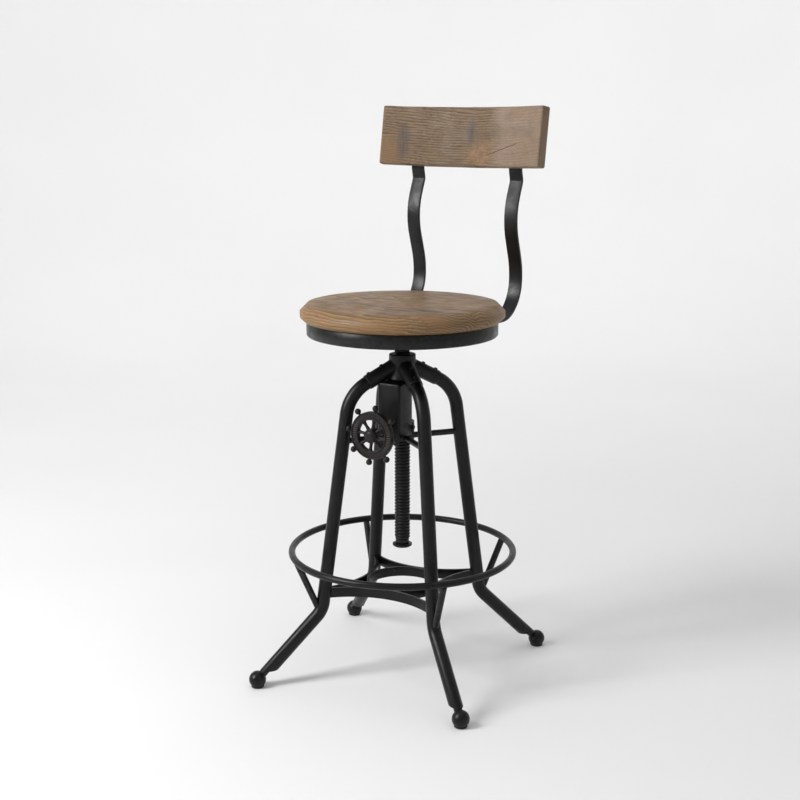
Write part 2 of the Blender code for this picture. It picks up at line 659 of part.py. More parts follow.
def build_wheel(crank):
    """The ship's wheel: rim, hub, spokes and ball-ended handles cast in one, then its cap and its shaft."""
    toward_sitter = Vector((0.0, -1.0, 0.0))
    forward = facing(toward_sitter, (0.0, 0.0, 0.0))
    half = RIM_T / 2.0
    lip = 0.0016
    rim = [(RIM_R_IN, -half + lip), (RIM_R_IN + lip, -half), (RIM_R_OUT - lip, -half),
           (RIM_R_OUT, -half + lip), (RIM_R_OUT, half - lip), (RIM_R_OUT - lip, half),
           (RIM_R_IN + lip, half), (RIM_R_IN, half - lip)]
    wheel = add_piece("handwheel", "black_cast", *turned(rim, 36, bored=True, place=forward), crank)
    hub_half = WHEEL_HUB_L / 2.0
    chamfer = 0.0010
    hub = [(WHEEL_HUB_R - chamfer, -hub_half), (WHEEL_HUB_R, -hub_half + chamfer),
           (WHEEL_HUB_R, hub_half - chamfer), (WHEEL_HUB_R - chamfer, hub_half)]
    apply_boolean(wheel, add_cutter("wheel_hub", turned(hub, 20, place=forward), crank), "UNION")
    for k in range(SPOKES):
        turn = WHEEL_PHASE + 2.0 * pi * k / SPOKES
        place = facing(Vector((sin(turn), 0.0, cos(turn))), (0.0, 0.0, 0.0))
        apply_boolean(wheel, add_cutter(f"spoke_{k}", spoke_shape(place), crank), "UNION")
        apply_boolean(wheel, add_cutter(f"knob_{k}", knob_shape(place), crank), "UNION")
    shaft_start = toward_sitter * SHAFT_DEPTH
    bore_start = shaft_start + toward_sitter * GAP
    shaft_bore = rod(bore_start, -toward_sitter * CLEAR, SHAFT_R + GAP, 24)
    apply_boolean(wheel, add_cutter("wheel_bore", shaft_bore, crank), "DIFFERENCE")

    brim = 0.0008
    dome = [(CAP_R, 0.0), (CAP_R, brim)]
    dome += [(CAP_R * cos(a), brim + CAP_RISE * sin(a)) for a in (0.5, 1.0, 1.5)]
    place = facing(toward_sitter, toward_sitter * (hub_half + GAP))
    add_piece("handwheel_cap", "black_cast", *turned(dome, 20, place=place), crank)

    shaft_end = Vector((0.0, PINION_Y[0] - WHEEL_Y - GAP, 0.0))
    add_piece("wheel_shaft", "black_screw", *rod(shaft_start, shaft_end, SHAFT_R, 16), crank)


def spoke_shape(place):
    """A spoke along the place's Z, a little slimmer halfway, sunk into the hub and into the rim."""
    start = WHEEL_HUB_R - 0.0040
    end = RIM_R_IN + 0.0030
    halfway = (WHEEL_HUB_R + RIM_R_IN) / 2.0
    return turned([(SPOKE_R, start), (SPOKE_WAIST_R, halfway), (SPOKE_R, end)], 8, place=place)


def knob_shape(place):
    """A ball on a short neck that starts inside the rim, along the place's Z."""
    profile = [(0.0030, RIM_R_OUT - 0.0030), (0.0024, RIM_R_OUT + 0.0010)]
    rows = 4
    lowest = -1.05
    for k in range(rows + 1):
        latitude = lowest + (pi / 2.0 - lowest) * k / rows
        profile.append((max(KNOB_R * cos(latitude), TIP_R), KNOB_CENTRE_R + KNOB_R * sin(latitude)))
    return turned(profile, 8, place=place)


# ---------------------------------------------------------------- lift screw


def thread_angles():
    """Azimuths round one turn from the keyway's middle: its floor, its two walls, then even steps."""
    wall = KEYWAY_HALF + radians(1.5)
    even = 8
    angles = [-KEYWAY_HALF, KEYWAY_HALF]
    angles += [wall + (2.0 * pi - 2.0 * wall) * k / even for k in range(even + 1)]
    return angles


def threaded_bar(bottom, thread_low, thread_high, top_rings, angles):
    """A V thread wound on a core with a keyway along it, between a plain foot and turned rings on top."""
    per_turn = len(angles)
    turns = int((thread_high - thread_low) / PITCH)
    steps = per_turn * turns

    def spot(step, radius, rise):
        angle = angles[step % per_turn]
        winding = (angle - angles[0]) / (2.0 * pi) + step // per_turn
        in_keyway = abs(angle) <= KEYWAY_HALF + 1e-6
        reach = min(radius, KEYWAY_R) if in_keyway else radius
        return polar(reach, KEYWAY_AZIMUTH + angle, thread_low + winding * PITCH + rise)

    def flat_ring(radius, z, keyed):
        ring = []
        for angle in angles:
            reach = min(radius, KEYWAY_R) if keyed and abs(angle) <= KEYWAY_HALF + 1e-6 else radius
            ring.append(polar(reach, KEYWAY_AZIMUTH + angle, z))
        return ring

    verts = flat_ring(ROOT_R, bottom, True)
    root = len(verts)
    verts += [spot(i, ROOT_R, 0.0) for i in range(steps + per_turn + 1)]
    crest = len(verts)
    verts += [spot(i, CREST_R, PITCH / 2.0) for i in range(steps + 1)]
    faces = [tuple(reversed(range(per_turn)))]
    for i in range(per_turn - 1):
        faces.append((i, i + 1, root + i + 1, root + i))
    last = per_turn - 1
    faces.append((last, 0, root, root + per_turn, root + last))
    faces.append((root, crest, root + per_turn))
    for i in range(steps):
        faces.append((root + i, root + i + 1, crest + i + 1, crest + i))
        faces.append((crest + i, crest + i + 1, root + per_turn + i + 1, root + per_turn + i))
    faces.append((root + steps, root + steps + per_turn, crest + steps))
    above = len(verts)
    rings = [flat_ring(radius, z, keyed) for radius, z, keyed in top_rings]
    for ring in rings:
        verts += ring
    start = root + steps
    for i in range(per_turn - 1):
        faces.append((start + i, start + i + 1, above + i + 1, above + i))
    faces.append((start + last, start + per_turn, start, above, above + last))
    for r in range(len(rings) - 1):
        a = above + r * per_turn
        b = a + per_turn
        for i in range(per_turn):
            n = (i + 1) % per_turn
            faces.append((a + i, a + n, b + n, b + i))
    final = above + (len(rings) - 1) * per_turn
    faces.append(tuple(final + i for i in range(per_turn)))
    return verts, faces


def build_lift(lift):
    low, high = THREAD_Z
    plain_low = high + PITCH + 0.0010
    chamfer = 0.0005
    top = ((ROOT_R, plain_low, True), (CREST_R, plain_low, False),
           (CREST_R, SCREW_SHOULDER_Z, False), (JOURNAL_R, SCREW_SHOULDER_Z, False),
           (JOURNAL_R, JOURNAL_TOP - chamfer, False), (JOURNAL_R - chamfer, JOURNAL_TOP, False))
    bar = threaded_bar(SCREW_BOTTOM, low, high, top, thread_angles())
    screw = add_piece("lift_screw", "black_screw", *outward(*bar), lift)
    screw.data.set_sharp_from_angle(angle=radians(30.0))

    edge = 0.0012
    z0, z1 = STOP_Z
    disc = [(STOP_R - 2.0 * edge, z0), (STOP_R - edge / 2.0, z0 + edge), (STOP_R, z0 + 2.0 * edge),
            (STOP_R, z1 - edge), (STOP_R - edge, z1)]
    add_piece("screw_stop", "black_screw", *turned(disc, 24), lift)

    bore = CREST_R + GAP
    z0, z1 = THRUST_Z
    collar = [(bore, z0), (THRUST_R - edge, z0), (THRUST_R, z0 + edge), (THRUST_R, z1), (bore, z1)]
    add_piece("thrust_collar", "black_cast", *turned(collar, 24, bored=True), lift)

    z0 = JOURNAL_TOP - RETAINER_DROP
    z1 = z0 + RETAINER_T
    bore = JOURNAL_R + GAP
    ring = [(bore, z0), (RETAINER_R, z0), (RETAINER_R, z1), (bore, z1)]
    add_piece("retaining_ring", "steel", *turned(ring, 16, bored=True), lift)


# ---------------------------------------------------------------- seat


def build_seat(seat):
    boss_low = THRUST_Z[1] + GAP
    plate_low = PAN_Z[1] - PAN_T
    boss_high = plate_low - GAP
    recess_low = JOURNAL_TOP - RETAINER_DROP - GAP
    recess_r = RETAINER_R + 0.0010
    bore = JOURNAL_R + 2.0 * GAP
    boss = [(bore, boss_low), (BOSS_R, boss_low), (BOSS_R, boss_high - 0.0080),
            (BOSS_FLANGE_R, boss_high - 0.0050), (BOSS_FLANGE_R, boss_high), (recess_r, boss_high),
            (recess_r, recess_low), (bore, recess_low)]
    add_piece("seat_boss", "black_cast", *turned(boss, 28, bored=True), seat)

    low, high = PAN_Z
    lip = 0.0012
    band_in = PAN_R - RIM_BAND_T
    pan = [(CENTRE_R, plate_low), (band_in, plate_low), (band_in, low), (PAN_R - lip, low),
           (PAN_R, low + lip), (PAN_R, high - lip), (PAN_R - lip, high), (CENTRE_R, high)]
    add_piece("seat_pan", "black_coat", *turned(pan, 56), seat)

    low, high = WOOD_Z
    wood = [(CENTRE_R, low), (WOOD_R - WOOD_UNDER, low)]
    for a in (0.5, 1.0, pi / 2.0):
        wood.append((WOOD_R - WOOD_UNDER * (1.0 - sin(a)), low + WOOD_UNDER * (1.0 - cos(a))))
    for a in (0.4, 0.8, 1.2, pi / 2.0):
        wood.append((WOOD_R - WOOD_EDGE * (1.0 - cos(a)), high - WOOD_EDGE * (1.0 - sin(a))))
    wood.append((CENTRE_R, high))
    add_piece("seat_wood", "seat_wood", *turned(wood, 64), seat)


def build_uprights(seat):
    path = rounded_path(UPRIGHT_POINTS, UPRIGHT_BENDS)
    section = bar_section(UPRIGHT_W, UPRIGHT_T)
    rim = turned([(PAN_R + GAP, PAN_Z[0] - CLEAR), (PAN_R + GAP, PAN_Z[1] + CLEAR)], 96)
    cope = add_cutter("cope_rim", rim, seat)
    for label, sign in (("left", -1.0), ("right", 1.0)):
        points = [Vector((sign * UPRIGHT_X, p.x, p.y)) for p in path]
        bar = swept(points, section, Vector((1.0, 0.0, 0.0)))
        upright = add_piece(f"upright_{label}", "black_coat", *bar, seat)
        apply_boolean(upright, cope, "DIFFERENCE")


def plank_point(across, up, depth):
    """A point of the backrest: across along its front arc, up along its lean, depth behind its front."""
    turn = across / BACK_ARC_R
    reach = BACK_ARC_R + depth
    x = reach * sin(turn)
    back = reach * cos(turn) - BACK_ARC_R
    return Vector((x, BACK_FRONT_Y + back * cos(BACK_LEAN) + up * sin(BACK_LEAN),
                   BACK_Z + up * cos(BACK_LEAN) - back * sin(BACK_LEAN)))


def build_backrest(seat):
    steps = 12
    half_arc = BACK_ARC_R * asin(BACK_HALF_W / BACK_ARC_R)
    rings = []
    for k in range(steps + 1):
        across = half_arc * (2.0 * k / steps - 1.0)
        corners = ((0.0, 0.0), (0.0, BACK_T), (BACK_H, BACK_T), (BACK_H, 0.0))
        rings.append([plank_point(across, up, depth) for up, depth in corners])
    backrest = add_piece("backrest", "back_wood", *outward(*loft(rings)), seat)
    add_bevel(backrest, BACK_EDGE, 2)
    build_backrest_screws(seat)


def build_backrest_screws(seat):
    """Round heads on the back of each upright, square to the leaning bar."""
    lean = Vector(UPRIGHT_POINTS[-1]) - Vector(UPRIGHT_POINTS[-2])
    lean.normalize()
    start = Vector(UPRIGHT_POINTS[-2])
    back = Vector((0.0, lean.y, -lean.x))
    for label, sign in (("left", -1.0), ("right", 1.0)):
        for level, height in zip(("lower", "upper"), BACK_SCREW_HEIGHTS):
            spot = start + lean * height
            middle = Vector((sign * UPRIGHT_X, spot.x, spot.y))
            place = facing(back, middle + back * (UPRIGHT_T / 2.0 + GAP))
            profile = [(0.0060, 0.0), (0.0060, 0.0008), (0.0046, 0.0022), (0.0015, 0.0028)]
            head = turned(profile, 10, place=place)
            add_piece(f"backrest_screw_{label}_{level}", "black_screw", *head, seat)


# ---------------------------------------------------------------- assembly


def main():
    for thing in list(bpy.data.objects):
        bpy.data.objects.remove(thing, do_unlink=True)
    axis = Vector((0.0, AXIS_Y, 0.0))
    base = add_origin("base_origin", axis)
    lift = add_origin("lift_origin", axis)
    seat = add_origin("seat_origin", axis)
    nut = add_origin("nut_origin", axis + Vector((0.0, 0.0, GEAR_ROOT_Z)))
    crank = add_origin("crank_origin", axis + Vector((0.0, WHEEL_Y, WHEEL_Z)))
    fat_legs = build_legs(base)
    build_hub(base)
    build_ring(base, fat_legs)
    build_braces(base, fat_legs)
    build_stays(base, fat_legs)
    build_bracket(base)
    build_housing(base)
    build_gear_nut(nut)
    build_pinion(crank)
    build_wheel(crank)
    build_lift(lift)
    build_seat(seat)
    build_uprights(seat)
    build_backrest(seat)


main()
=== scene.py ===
"""The looks of an adjustable bar stool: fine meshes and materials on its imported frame, in a plain studio.

Metres, +Z up. Shapes are measured from the lift screw's axis and moved onto it when they become pieces.
"""

from math import asin, cos, pi, radians, sin, tan

import bmesh
import bpy
from mathutils import Matrix, Vector, noise


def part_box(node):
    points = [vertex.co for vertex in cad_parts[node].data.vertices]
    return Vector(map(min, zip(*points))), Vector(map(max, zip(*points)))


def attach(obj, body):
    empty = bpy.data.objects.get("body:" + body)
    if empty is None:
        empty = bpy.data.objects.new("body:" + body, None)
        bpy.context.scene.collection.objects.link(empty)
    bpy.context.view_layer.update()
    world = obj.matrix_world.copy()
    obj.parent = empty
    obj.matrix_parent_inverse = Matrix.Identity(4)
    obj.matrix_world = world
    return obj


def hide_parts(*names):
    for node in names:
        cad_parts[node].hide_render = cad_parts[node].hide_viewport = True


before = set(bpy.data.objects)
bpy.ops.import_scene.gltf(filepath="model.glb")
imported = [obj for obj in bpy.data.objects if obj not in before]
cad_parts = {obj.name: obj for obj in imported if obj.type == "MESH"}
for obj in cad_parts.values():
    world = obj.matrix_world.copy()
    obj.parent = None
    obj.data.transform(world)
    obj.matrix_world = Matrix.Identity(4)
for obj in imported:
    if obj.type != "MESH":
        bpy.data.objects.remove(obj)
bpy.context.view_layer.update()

# ---------------------------------------------------------------- dimensions read from the frame


def node_middle(node):
    low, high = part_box(node)
    return (low + high) / 2.0


AXIS = Vector((0.0, node_middle("seat_pan").y, 0.0))


def heights(node):
    low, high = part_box(node)
    return low.z, high.z


def half_width(node):
    low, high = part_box(node)
    return (high.x - low.x) / 2.0


PAN_R = half_width("seat_pan")
PAN_Z = heights("seat_pan")
WOOD_R = half_width("seat_wood")
WOOD_Z = heights("seat_wood")
RING_ROD_R = (heights("footrest_ring")[1] - heights("footrest_ring")[0]) / 2.0
RING_R = half_width("footrest_ring") - RING_ROD_R
RING_Z = node_middle("footrest_ring").z
BRACE_Z = heights("brace_hoop")
HOOP_OUTER_R = half_width("brace_hoop")
HUB_TOP = heights("hub_casting")[1]
BRACKET_HALF_W = half_width("gear_bracket")
BRACKET_Z = heights("gear_bracket")
BRACKET_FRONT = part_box("gear_bracket")[0].y - AXIS.y
BRACKET_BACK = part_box("gear_bracket")[1].y - AXIS.y
HOUSING_R = half_width("nut_housing")
HOUSING_Z = heights("nut_housing")
STOP_R = half_width("screw_stop")
STOP_Z = heights("screw_stop")
THRUST_R = half_width("thrust_collar")
THRUST_Z = heights("thrust_collar")
SCREW_Z = heights("lift_screw")
WHEEL_MIDDLE = node_middle("handwheel") - AXIS
FOOT_R = (node_middle("foot_ball_front_right") - AXIS).xy.length
BALL_R = half_width("foot_ball_front_right")
GLIDE_TOP = heights("foot_glide_front_right")[1]
UPRIGHT_X = node_middle("upright_right").x
UPRIGHT_W = 2.0 * half_width("upright_right")

# ---------------------------------------------------------------- dimensions of the shapes

GAP = 0.0003
ARC_STEP = radians(3.0)
CHAMFER = pi  # as a step: one facet crosses the whole corner
TIP_R = 1e-5  # a profile that ends on its axis stops in a ring this small
FORWARD = Matrix.Rotation(radians(90.0), 4, "X")  # stands local Z toward the sitter's side
LEG_NAMES = ("front_right", "rear_right", "rear_left", "front_left")
LEG_TURN = radians(-37.3)
TUBE_R = 0.0120
SOCKET_SLOPE = radians(27.5)
SHOULDER = (0.1006, 0.5260)
KNEE = (0.1550, 0.1302)
LEG_TOE = (0.2745, 0.0118)
SHOULDER_BEND = 0.072
KNEE_BEND = 0.045
TUBE_CUT_Z = 0.0300
NECK_R = 0.0074
NECK_RISE = 0.0044
NECK_START = (0.2100, 0.0757)
BALL_Z = 0.0145
HUB_BOTTOM = 0.5465
COLLAR_R = 0.0240
HUB_BORE_R = 0.0147
ARM_START_R = 0.0170
ARM_END_R = 0.0670
ARM_W_IN = 0.0165
ARM_H_IN = 0.0155
ARM_R_OUT = 0.0136
SOCKET_SCREWS = (0.0342, 0.0581)
STRUT_R = 0.0060
STRUT_FOOT_Z = 0.1260
STRUT_FOOT_OUT = 0.004
BRACE_T = 0.0045
STRAP_BULGE_R = HOOP_OUTER_R + GAP + BRACE_T / 2.0
STRAP_SIDE = 0.0028
STAY_R = 0.0055
STAY_Z = 0.4414
PLATE_T = 0.0035
HOUSING_BORE_R = 0.0183
HOUSING_CUP_TOP = 0.4472
BUSH_R = 0.0085
WHEEL_PHASE = radians(8.0)
SPOKES = 8
RIM_R_OUT = 0.0425
RIM_R_IN = 0.0278
RIM_T = 0.0100
WHEEL_HUB_R = 0.0124
WHEEL_HUB_L = 0.0180
KNOB_R = 0.0055
KNOB_CENTRE_R = 0.0492
CREST_R = 0.0142
ROOT_R = 0.0122
PITCH = 0.0060
THREAD_Z = (0.2470, 0.6060)
SCREW_SHOULDER_Z = 0.6240
JOURNAL_R = 0.0090
KEYWAY_R = 0.0112
KEYWAY_HALF = radians(6.5)
KEYWAY_AZIMUTH = LEG_TURN + radians(135.0)
RIM_BAND_T = 0.0040
PAN_T = 0.0030
UPRIGHT_T = 0.0060
UPRIGHT_POINTS = ((0.1200, 0.6400), (0.2310, 0.6400), (0.2310, 0.7317), (0.2001, 0.8240),
                  (0.2280, 0.8885), (0.2232, 0.9090), (0.2368, 0.9950))
UPRIGHT_BENDS = (0.070, 0.120, 0.110, 0.012, 0.015)
BACK_FRONT_Y = 0.2043
BACK_HALF_W = 0.1683
BACK_ARC_R = 0.7030
BACK_Z = 0.9133
BACK_H = 0.1098
BACK_T = 0.0217
BACK_LEAN = radians(9.0)
BACK_SCREW_HEIGHTS = (0.0300, 0.0700)

# ---------------------------------------------------------------- shapes, as (points, faces)


def polar(radius, azimuth, z):
    return Vector((radius * cos(azimuth), radius * sin(azimuth), z))


def loft(rings, closed=False):
    """Quads between equal rings of points; closed joins the last to the first, else both ends are capped."""
    count = len(rings[0])
    verts = [point for ring in rings for point in ring]
    faces = []
    steps = len(rings) if closed else len(rings) - 1
    for i in range(steps):
        a = i * count
        b = ((i + 1) % len(rings)) * count
        for k in range(count):
            n = (k + 1) % count
            faces.append((a + k, a + n, b + n, b + k))
    if not closed:
        faces.append(tuple(reversed(range(count))))
        faces.append(tuple((len(rings) - 1) * count + k for k in range(count)))
    return verts, faces


def turned(profile, sides, bored=False, place=Matrix()):
    """A solid turned about local Z from (radius, z) points; a bored profile is a closed loop off the axis."""
    rings = []
    for radius, z in profile:
        rings.append([place @ polar(radius, 2.0 * pi * k / sides, z) for k in range(sides)])
    return loft(rings, closed=bored)


def circle_section(radius, sides):
    return [(radius * cos(2.0 * pi * k / sides), radius * sin(2.0 * pi * k / sides)) for k in range(sides)]


def bar_section(width, thickness):
    w = width / 2.0
    t = thickness / 2.0
    return [(w, t), (-w, t), (-w, -t), (w, -t)]


def swept(points, section, side):
    """A section carried along a flat path; side is the plane's normal and the section's first direction."""
    rings = []
    for i, point in enumerate(points):
        into = (point - points[max(i - 1, 0)]).normalized()
        out = (points[min(i + 1, len(points) - 1)] - point).normalized()
        ahead = (into + out).normalized()
        up = ahead.cross(side).normalized()
        stretch = 1.0 / max(ahead.dot(out if out.length else into), 0.5)
        rings.append([point + side * a + up * (b * stretch) for a, b in section])
    return loft(rings)


def rounded_path(points, bends, arc_step):
    """A polyline in a plane, as (u, v) points, with an arc of the given radius at each inner point."""
    path = [Vector(points[0])]
    for i, radius in enumerate(bends):
        corner = Vector(points[i + 1])
        into = (corner - Vector(points[i])).normalized()
        out = (Vector(points[i + 2]) - corner).normalized()
        turn = into.angle(out)
        reach = radius * tan(turn / 2.0)
        start = corner - into * reach
        towards = (out - into * into.dot(out)).normalized()
        centre = start + towards * radius
        steps = max(round(turn / arc_step), 1)
        for k in range(steps + 1):
            a = turn * k / steps
            path.append(centre - towards * (radius * cos(a)) + into * (radius * sin(a)))
    path.append(Vector(points[-1]))
    return path


def rounded_profile(points, radii, arc_step=radians(22.5)):
    """A (radius, z) outline with its inner corners rounded."""
    return [tuple(p) for p in rounded_path(points, radii, arc_step)]


def box(low, high):
    x0, y0, z0 = low
    x1, y1, z1 = high
    corners = ((x0, y0), (x1, y0), (x1, y1), (x0, y1))
    return loft([[Vector((x, y, z)) for x, y in corners] for z in (z0, z1)])


def upright_place(start, direction):
    """The turn and shift that stand local Z on start, along direction."""
    return Matrix.Translation(start) @ direction.to_track_quat("Z", "Y").to_matrix().to_4x4()


def rod(start, end, radius, sides=28):
    axis = end - start
    return turned([(radius, 0.0), (radius, axis.length)], sides, place=upright_place(start, axis))


def ball_profile(radius, centre_z, lowest_angle, rows):
    """(radius, z) points of a ball from an angle below its middle up to its top."""
    points = []
    for k in range(rows + 1):
        angle = lowest_angle + (pi / 2.0 - lowest_angle) * k / rows
        points.append((radius * cos(angle) + TIP_R, centre_z + radius * sin(angle)))
    return points


# ---------------------------------------------------------------- meshes


def add_faces(build, shape):
    """Adds a shape's points and faces to a mesh being built, and gives the new faces."""
    verts, faces = shape
    made = [build.verts.new(v) for v in verts]
    return [build.faces.new([made[i] for i in face]) for face in faces]


def loose_object(shape):
    """An unnamed object made of one or more shapes; it lives only until its mesh is baked."""
    mesh = bpy.data.meshes.new("loose")
    build = bmesh.new()
    for one in shape if isinstance(shape, list) else [shape]:
        add_faces(build, one)
    bmesh.ops.remove_doubles(build, verts=build.verts, dist=1e-6)
    bmesh.ops.recalc_face_normals(build, faces=build.faces)
    build.to_mesh(mesh)
    build.free()
    thing = bpy.data.objects.new("loose", mesh)
    bpy.context.scene.collection.objects.link(thing)
    return thing


def baked(shape, joined=(), cut=(), bevel=0.0, segments=3, voxel=0.0, smoothing=0):
    """A mesh of the shape after unions, cuts, a smoothed remesh and a bevel, each only where asked for."""
    thing = loose_object(shape)
    tools = []
    for operation, shapes in (("UNION", joined), ("DIFFERENCE", cut)):
        for tool_shape in shapes:
            tool = loose_object(tool_shape)
            step = thing.modifiers.new("combine", "BOOLEAN")
            step.operation = operation
            step.solver = "EXACT"
            step.object = tool
            tools.append(tool)
    if voxel:
        remesh = thing.modifiers.new("remesh", "REMESH")
        remesh.mode = "VOXEL"
        remesh.voxel_size = voxel
        smooth = thing.modifiers.new("smooth", "SMOOTH")
        smooth.factor = 0.5
        smooth.iterations = smoothing
    if bevel:
        rounding = thing.modifiers.new("edges", "BEVEL")
        rounding.width = bevel
        rounding.segments = segments
        rounding.limit_method = "ANGLE"
        rounding.angle_limit = radians(40.0)
    bpy.context.view_layer.update()
    depsgraph = bpy.context.evaluated_depsgraph_get()
    mesh = bpy.data.meshes.new_from_object(thing.evaluated_get(depsgraph))
    for loose in (thing, *tools):
        bpy.data.objects.remove(loose, do_unlink=True)
    return mesh


def shape_of(mesh):
    """A mesh's points and faces, as a shape for further work; the mesh itself is dropped."""
    shape = ([vert.co.copy() for vert in mesh.vertices], [tuple(face.vertices) for face in mesh.polygons])
    bpy.data.meshes.remove(mesh)
    return shape


def mark_convexity(mesh):
    """Stores how sharply the surface bends outward at each point, from 0 to 1, as the attribute "wear"."""
    build = bmesh.new()
    build.from_mesh(mesh)
    values = []
    for vert in build.verts:
        away = [(edge.other_vert(vert).co - vert.co).normalized() for edge in vert.link_edges]
        bend = -sum(vert.normal.dot(direction) for direction in away) / max(len(away), 1)
        values.append(min(max((bend - 0.10) / 0.25, 0.0), 1.0))
    build.free()
    attribute = mesh.attributes.new("convexity", "FLOAT", "POINT")
    attribute.data.foreach_set("value", values)


def add_piece(node, mesh, body, material, sharp_angle=38.0):
    """The fine piece that stands for a CAD node, with its place on the body and its finish."""
    mesh.transform(Matrix.Translation(AXIS))
    mesh.shade_smooth()
    mesh.set_sharp_from_angle(angle=radians(sharp_angle))
    mark_convexity(mesh)
    mesh.materials.clear()
    mesh.materials.append(material)
    piece = bpy.data.objects.new(f"{node}_fine", mesh)
    bpy.context.scene.collection.objects.link(piece)
    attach(piece, body)
    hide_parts(node)
    return piece


# ---------------------------------------------------------------- material nodes


class Graph:
    """A material's node tree, with short calls for the nodes that the finishes share."""

    def __init__(self, name):
        self.material = bpy.data.materials.new(name)
        self.material.use_nodes = True
        self.tree = self.material.node_tree
        self.shader = self.tree.nodes["Principled BSDF"]
        self.place = self.node("ShaderNodeTexCoord").outputs["Object"]

    def node(self, kind, values=None, **settings):
        made = self.tree.nodes.new(kind)
        for key, value in settings.items():
            setattr(made, key, value)
        for key, value in (values or {}).items():
            self.feed(made.inputs[key], value)
        return made

    def feed(self, socket, value):
        if isinstance(value, bpy.types.NodeSocket):
            self.tree.links.new(value, socket)
        else:
            socket.default_value = value

    def math(self, operation, a, b=0.0, c=0.0):
        return self.node("ShaderNodeMath", {0: a, 1: b, 2: c}, operation=operation).outputs[0]

    def times(self, a, b):
        return self.math("MULTIPLY", a, b)

    def plus(self, a, b):
        return self.math("ADD", a, b)

    def scaled(self, vector, factors):
        return self.node("ShaderNodeVectorMath", {0: vector, 1: factors}, operation="MULTIPLY").outputs[0]

    def shifted(self, vector, offset):
        return self.node("ShaderNodeVectorMath", {0: vector, 1: offset}, operation="ADD").outputs[0]

    def parts(self, vector):
        return self.node("ShaderNodeSeparateXYZ", {0: vector}).outputs

    def vector(self, x, y, z):
        return self.node("ShaderNodeCombineXYZ", {0: x, 1: y, 2: z}).outputs[0]

    def noise(self, vector, scale, detail=3.0, roughness=0.55, distortion=0.0, colour=False):
        made = self.node("ShaderNodeTexNoise", {"Vector": vector, "Scale": scale, "Detail": detail,
                                                "Roughness": roughness, "Distortion": distortion})
        return made.outputs["Color" if colour else "Fac"]

    def fit(self, value, low, high, to_low=0.0, to_high=1.0):
        """The value's range low..high mapped smoothly onto to_low..to_high."""
        made = self.node("ShaderNodeMapRange", {"Value": value, "From Min": low, "From Max": high,
                                                "To Min": to_low, "To Max": to_high}, interpolation_type="SMOOTHSTEP")
        return made.outputs["Result"]

    def ramp(self, value, stops):
        made = self.node("ShaderNodeValToRGB", {"Fac": value})
        ends = made.color_ramp.elements
        while len(ends) < len(stops):
            ends.new(0.5)
        for element, (position, colour) in zip(ends, stops):
            element.position = position
            element.color = (*colour, 1.0)
        return made.outputs["Color"]

    def mix(self, share, a, b, blend="MIX"):
        made = self.node("ShaderNodeMix", data_type="RGBA", blend_type=blend)
        self.feed(made.inputs[0], share)
        for index, value in ((6, a), (7, b)):
            self.feed(made.inputs[index], value if isinstance(value, bpy.types.NodeSocket) else (*value, 1.0))
        return made.outputs[2]

    def bump(self, height, distance, strength=1.0, under=None):
        values = {"Height": height, "Distance": distance, "Strength": strength}
        if under:
            values["Normal"] = under
        return self.node("ShaderNodeBump", values).outputs["Normal"]

    def blob(self, spot, sizes):
        """1 at a spot of the object, falling to 0 over the given half sizes."""
        away = self.scaled(self.shifted(self.place, tuple(-c for c in spot)), tuple(1.0 / s for s in sizes))
        distance = self.node("ShaderNodeVectorMath", {0: away}, operation="LENGTH").outputs["Value"]
        return self.fit(distance, 0.15, 1.0, 1.0, 0.0)

    def finish(self, colour, roughness, normal, metallic=0.0, specular=0.5):
        self.feed(self.shader.inputs["Base Color"], colour)
        self.feed(self.shader.inputs["Roughness"], roughness)
        self.feed(self.shader.inputs["Normal"], normal)
        self.shader.inputs["Metallic"].default_value = metallic
        self.shader.inputs["Specular IOR Level"].default_value = specular
        return self.material


# ---------------------------------------------------------------- metal finishes


COAT_SPECULAR = 0.27


def coat_layers(name, colour, wear_and_highlight_tone, roughness, pebble, cast):
    """Black powder coat as a graph with its tone, gloss and normal: smudged, dusty on top and lighter at its convex
    edges, partly as rubbed wear and partly as a painted highlight, with an orange-peel surface that cast makes sandy."""
    g = Graph(name)
    cloud = g.noise(g.place, 16.0, 4.0, 0.6)
    base = g.ramp(cloud, [(0.30, tuple(0.72 * c for c in colour)), (0.55, colour),
                          (0.75, tuple(1.35 * c for c in colour))])
    rub = g.noise(g.place, 130.0, 4.0, 0.65)
    edge = g.node("ShaderNodeAttribute", attribute_name="convexity").outputs["Fac"]
    # Convex edges lightened in patches: partly rubbed wear, partly a painted highlight; the scratches below are wear.
    rubbed_and_highlighted_edges = g.times(g.fit(edge, 0.10, 0.75), g.fit(rub, 0.36, 0.62))
    scratch = g.noise(g.scaled(g.place, (1.0, 1.0, 0.12)), 420.0, 2.0, 0.5)
    scratched = g.times(g.fit(scratch, 0.70, 0.76), g.fit(g.noise(g.place, 9.0), 0.50, 0.65))
    shown = g.math("MAXIMUM", g.times(rubbed_and_highlighted_edges, 0.55), g.times(scratched, 0.30))
    tone = g.mix(shown, base, wear_and_highlight_tone)
    facing_up = g.parts(g.node("ShaderNodeNewGeometry").outputs["Normal"])["Z"]
    upward = g.fit(facing_up, 0.55, 1.0)
    dust = g.times(upward, g.fit(g.noise(g.place, 60.0, 5.0, 0.7), 0.42, 0.75, 0.0, 0.05))
    tone = g.mix(dust, tone, (0.19, 0.18, 0.17))
    smudge = g.noise(g.place, 42.0, 5.0, 0.6, 0.8)
    gloss = g.plus(g.fit(smudge, 0.30, 0.70, roughness - 0.07, roughness + 0.09), g.times(dust, 0.6))
    peel = g.bump(g.noise(g.place, 900.0, 2.0, 0.5), 0.00016 * pebble, 0.6)
    sandy = g.bump(g.noise(g.place, 2600.0, 3.0, 0.7), 0.00010 + 0.00025 * cast, 0.35 + 0.4 * cast, peel)
    dents = g.bump(g.noise(g.place, 60.0, 2.0, 0.4), 0.0008, 0.25 + 0.3 * cast, sandy)
    return g, tone, gloss, dents


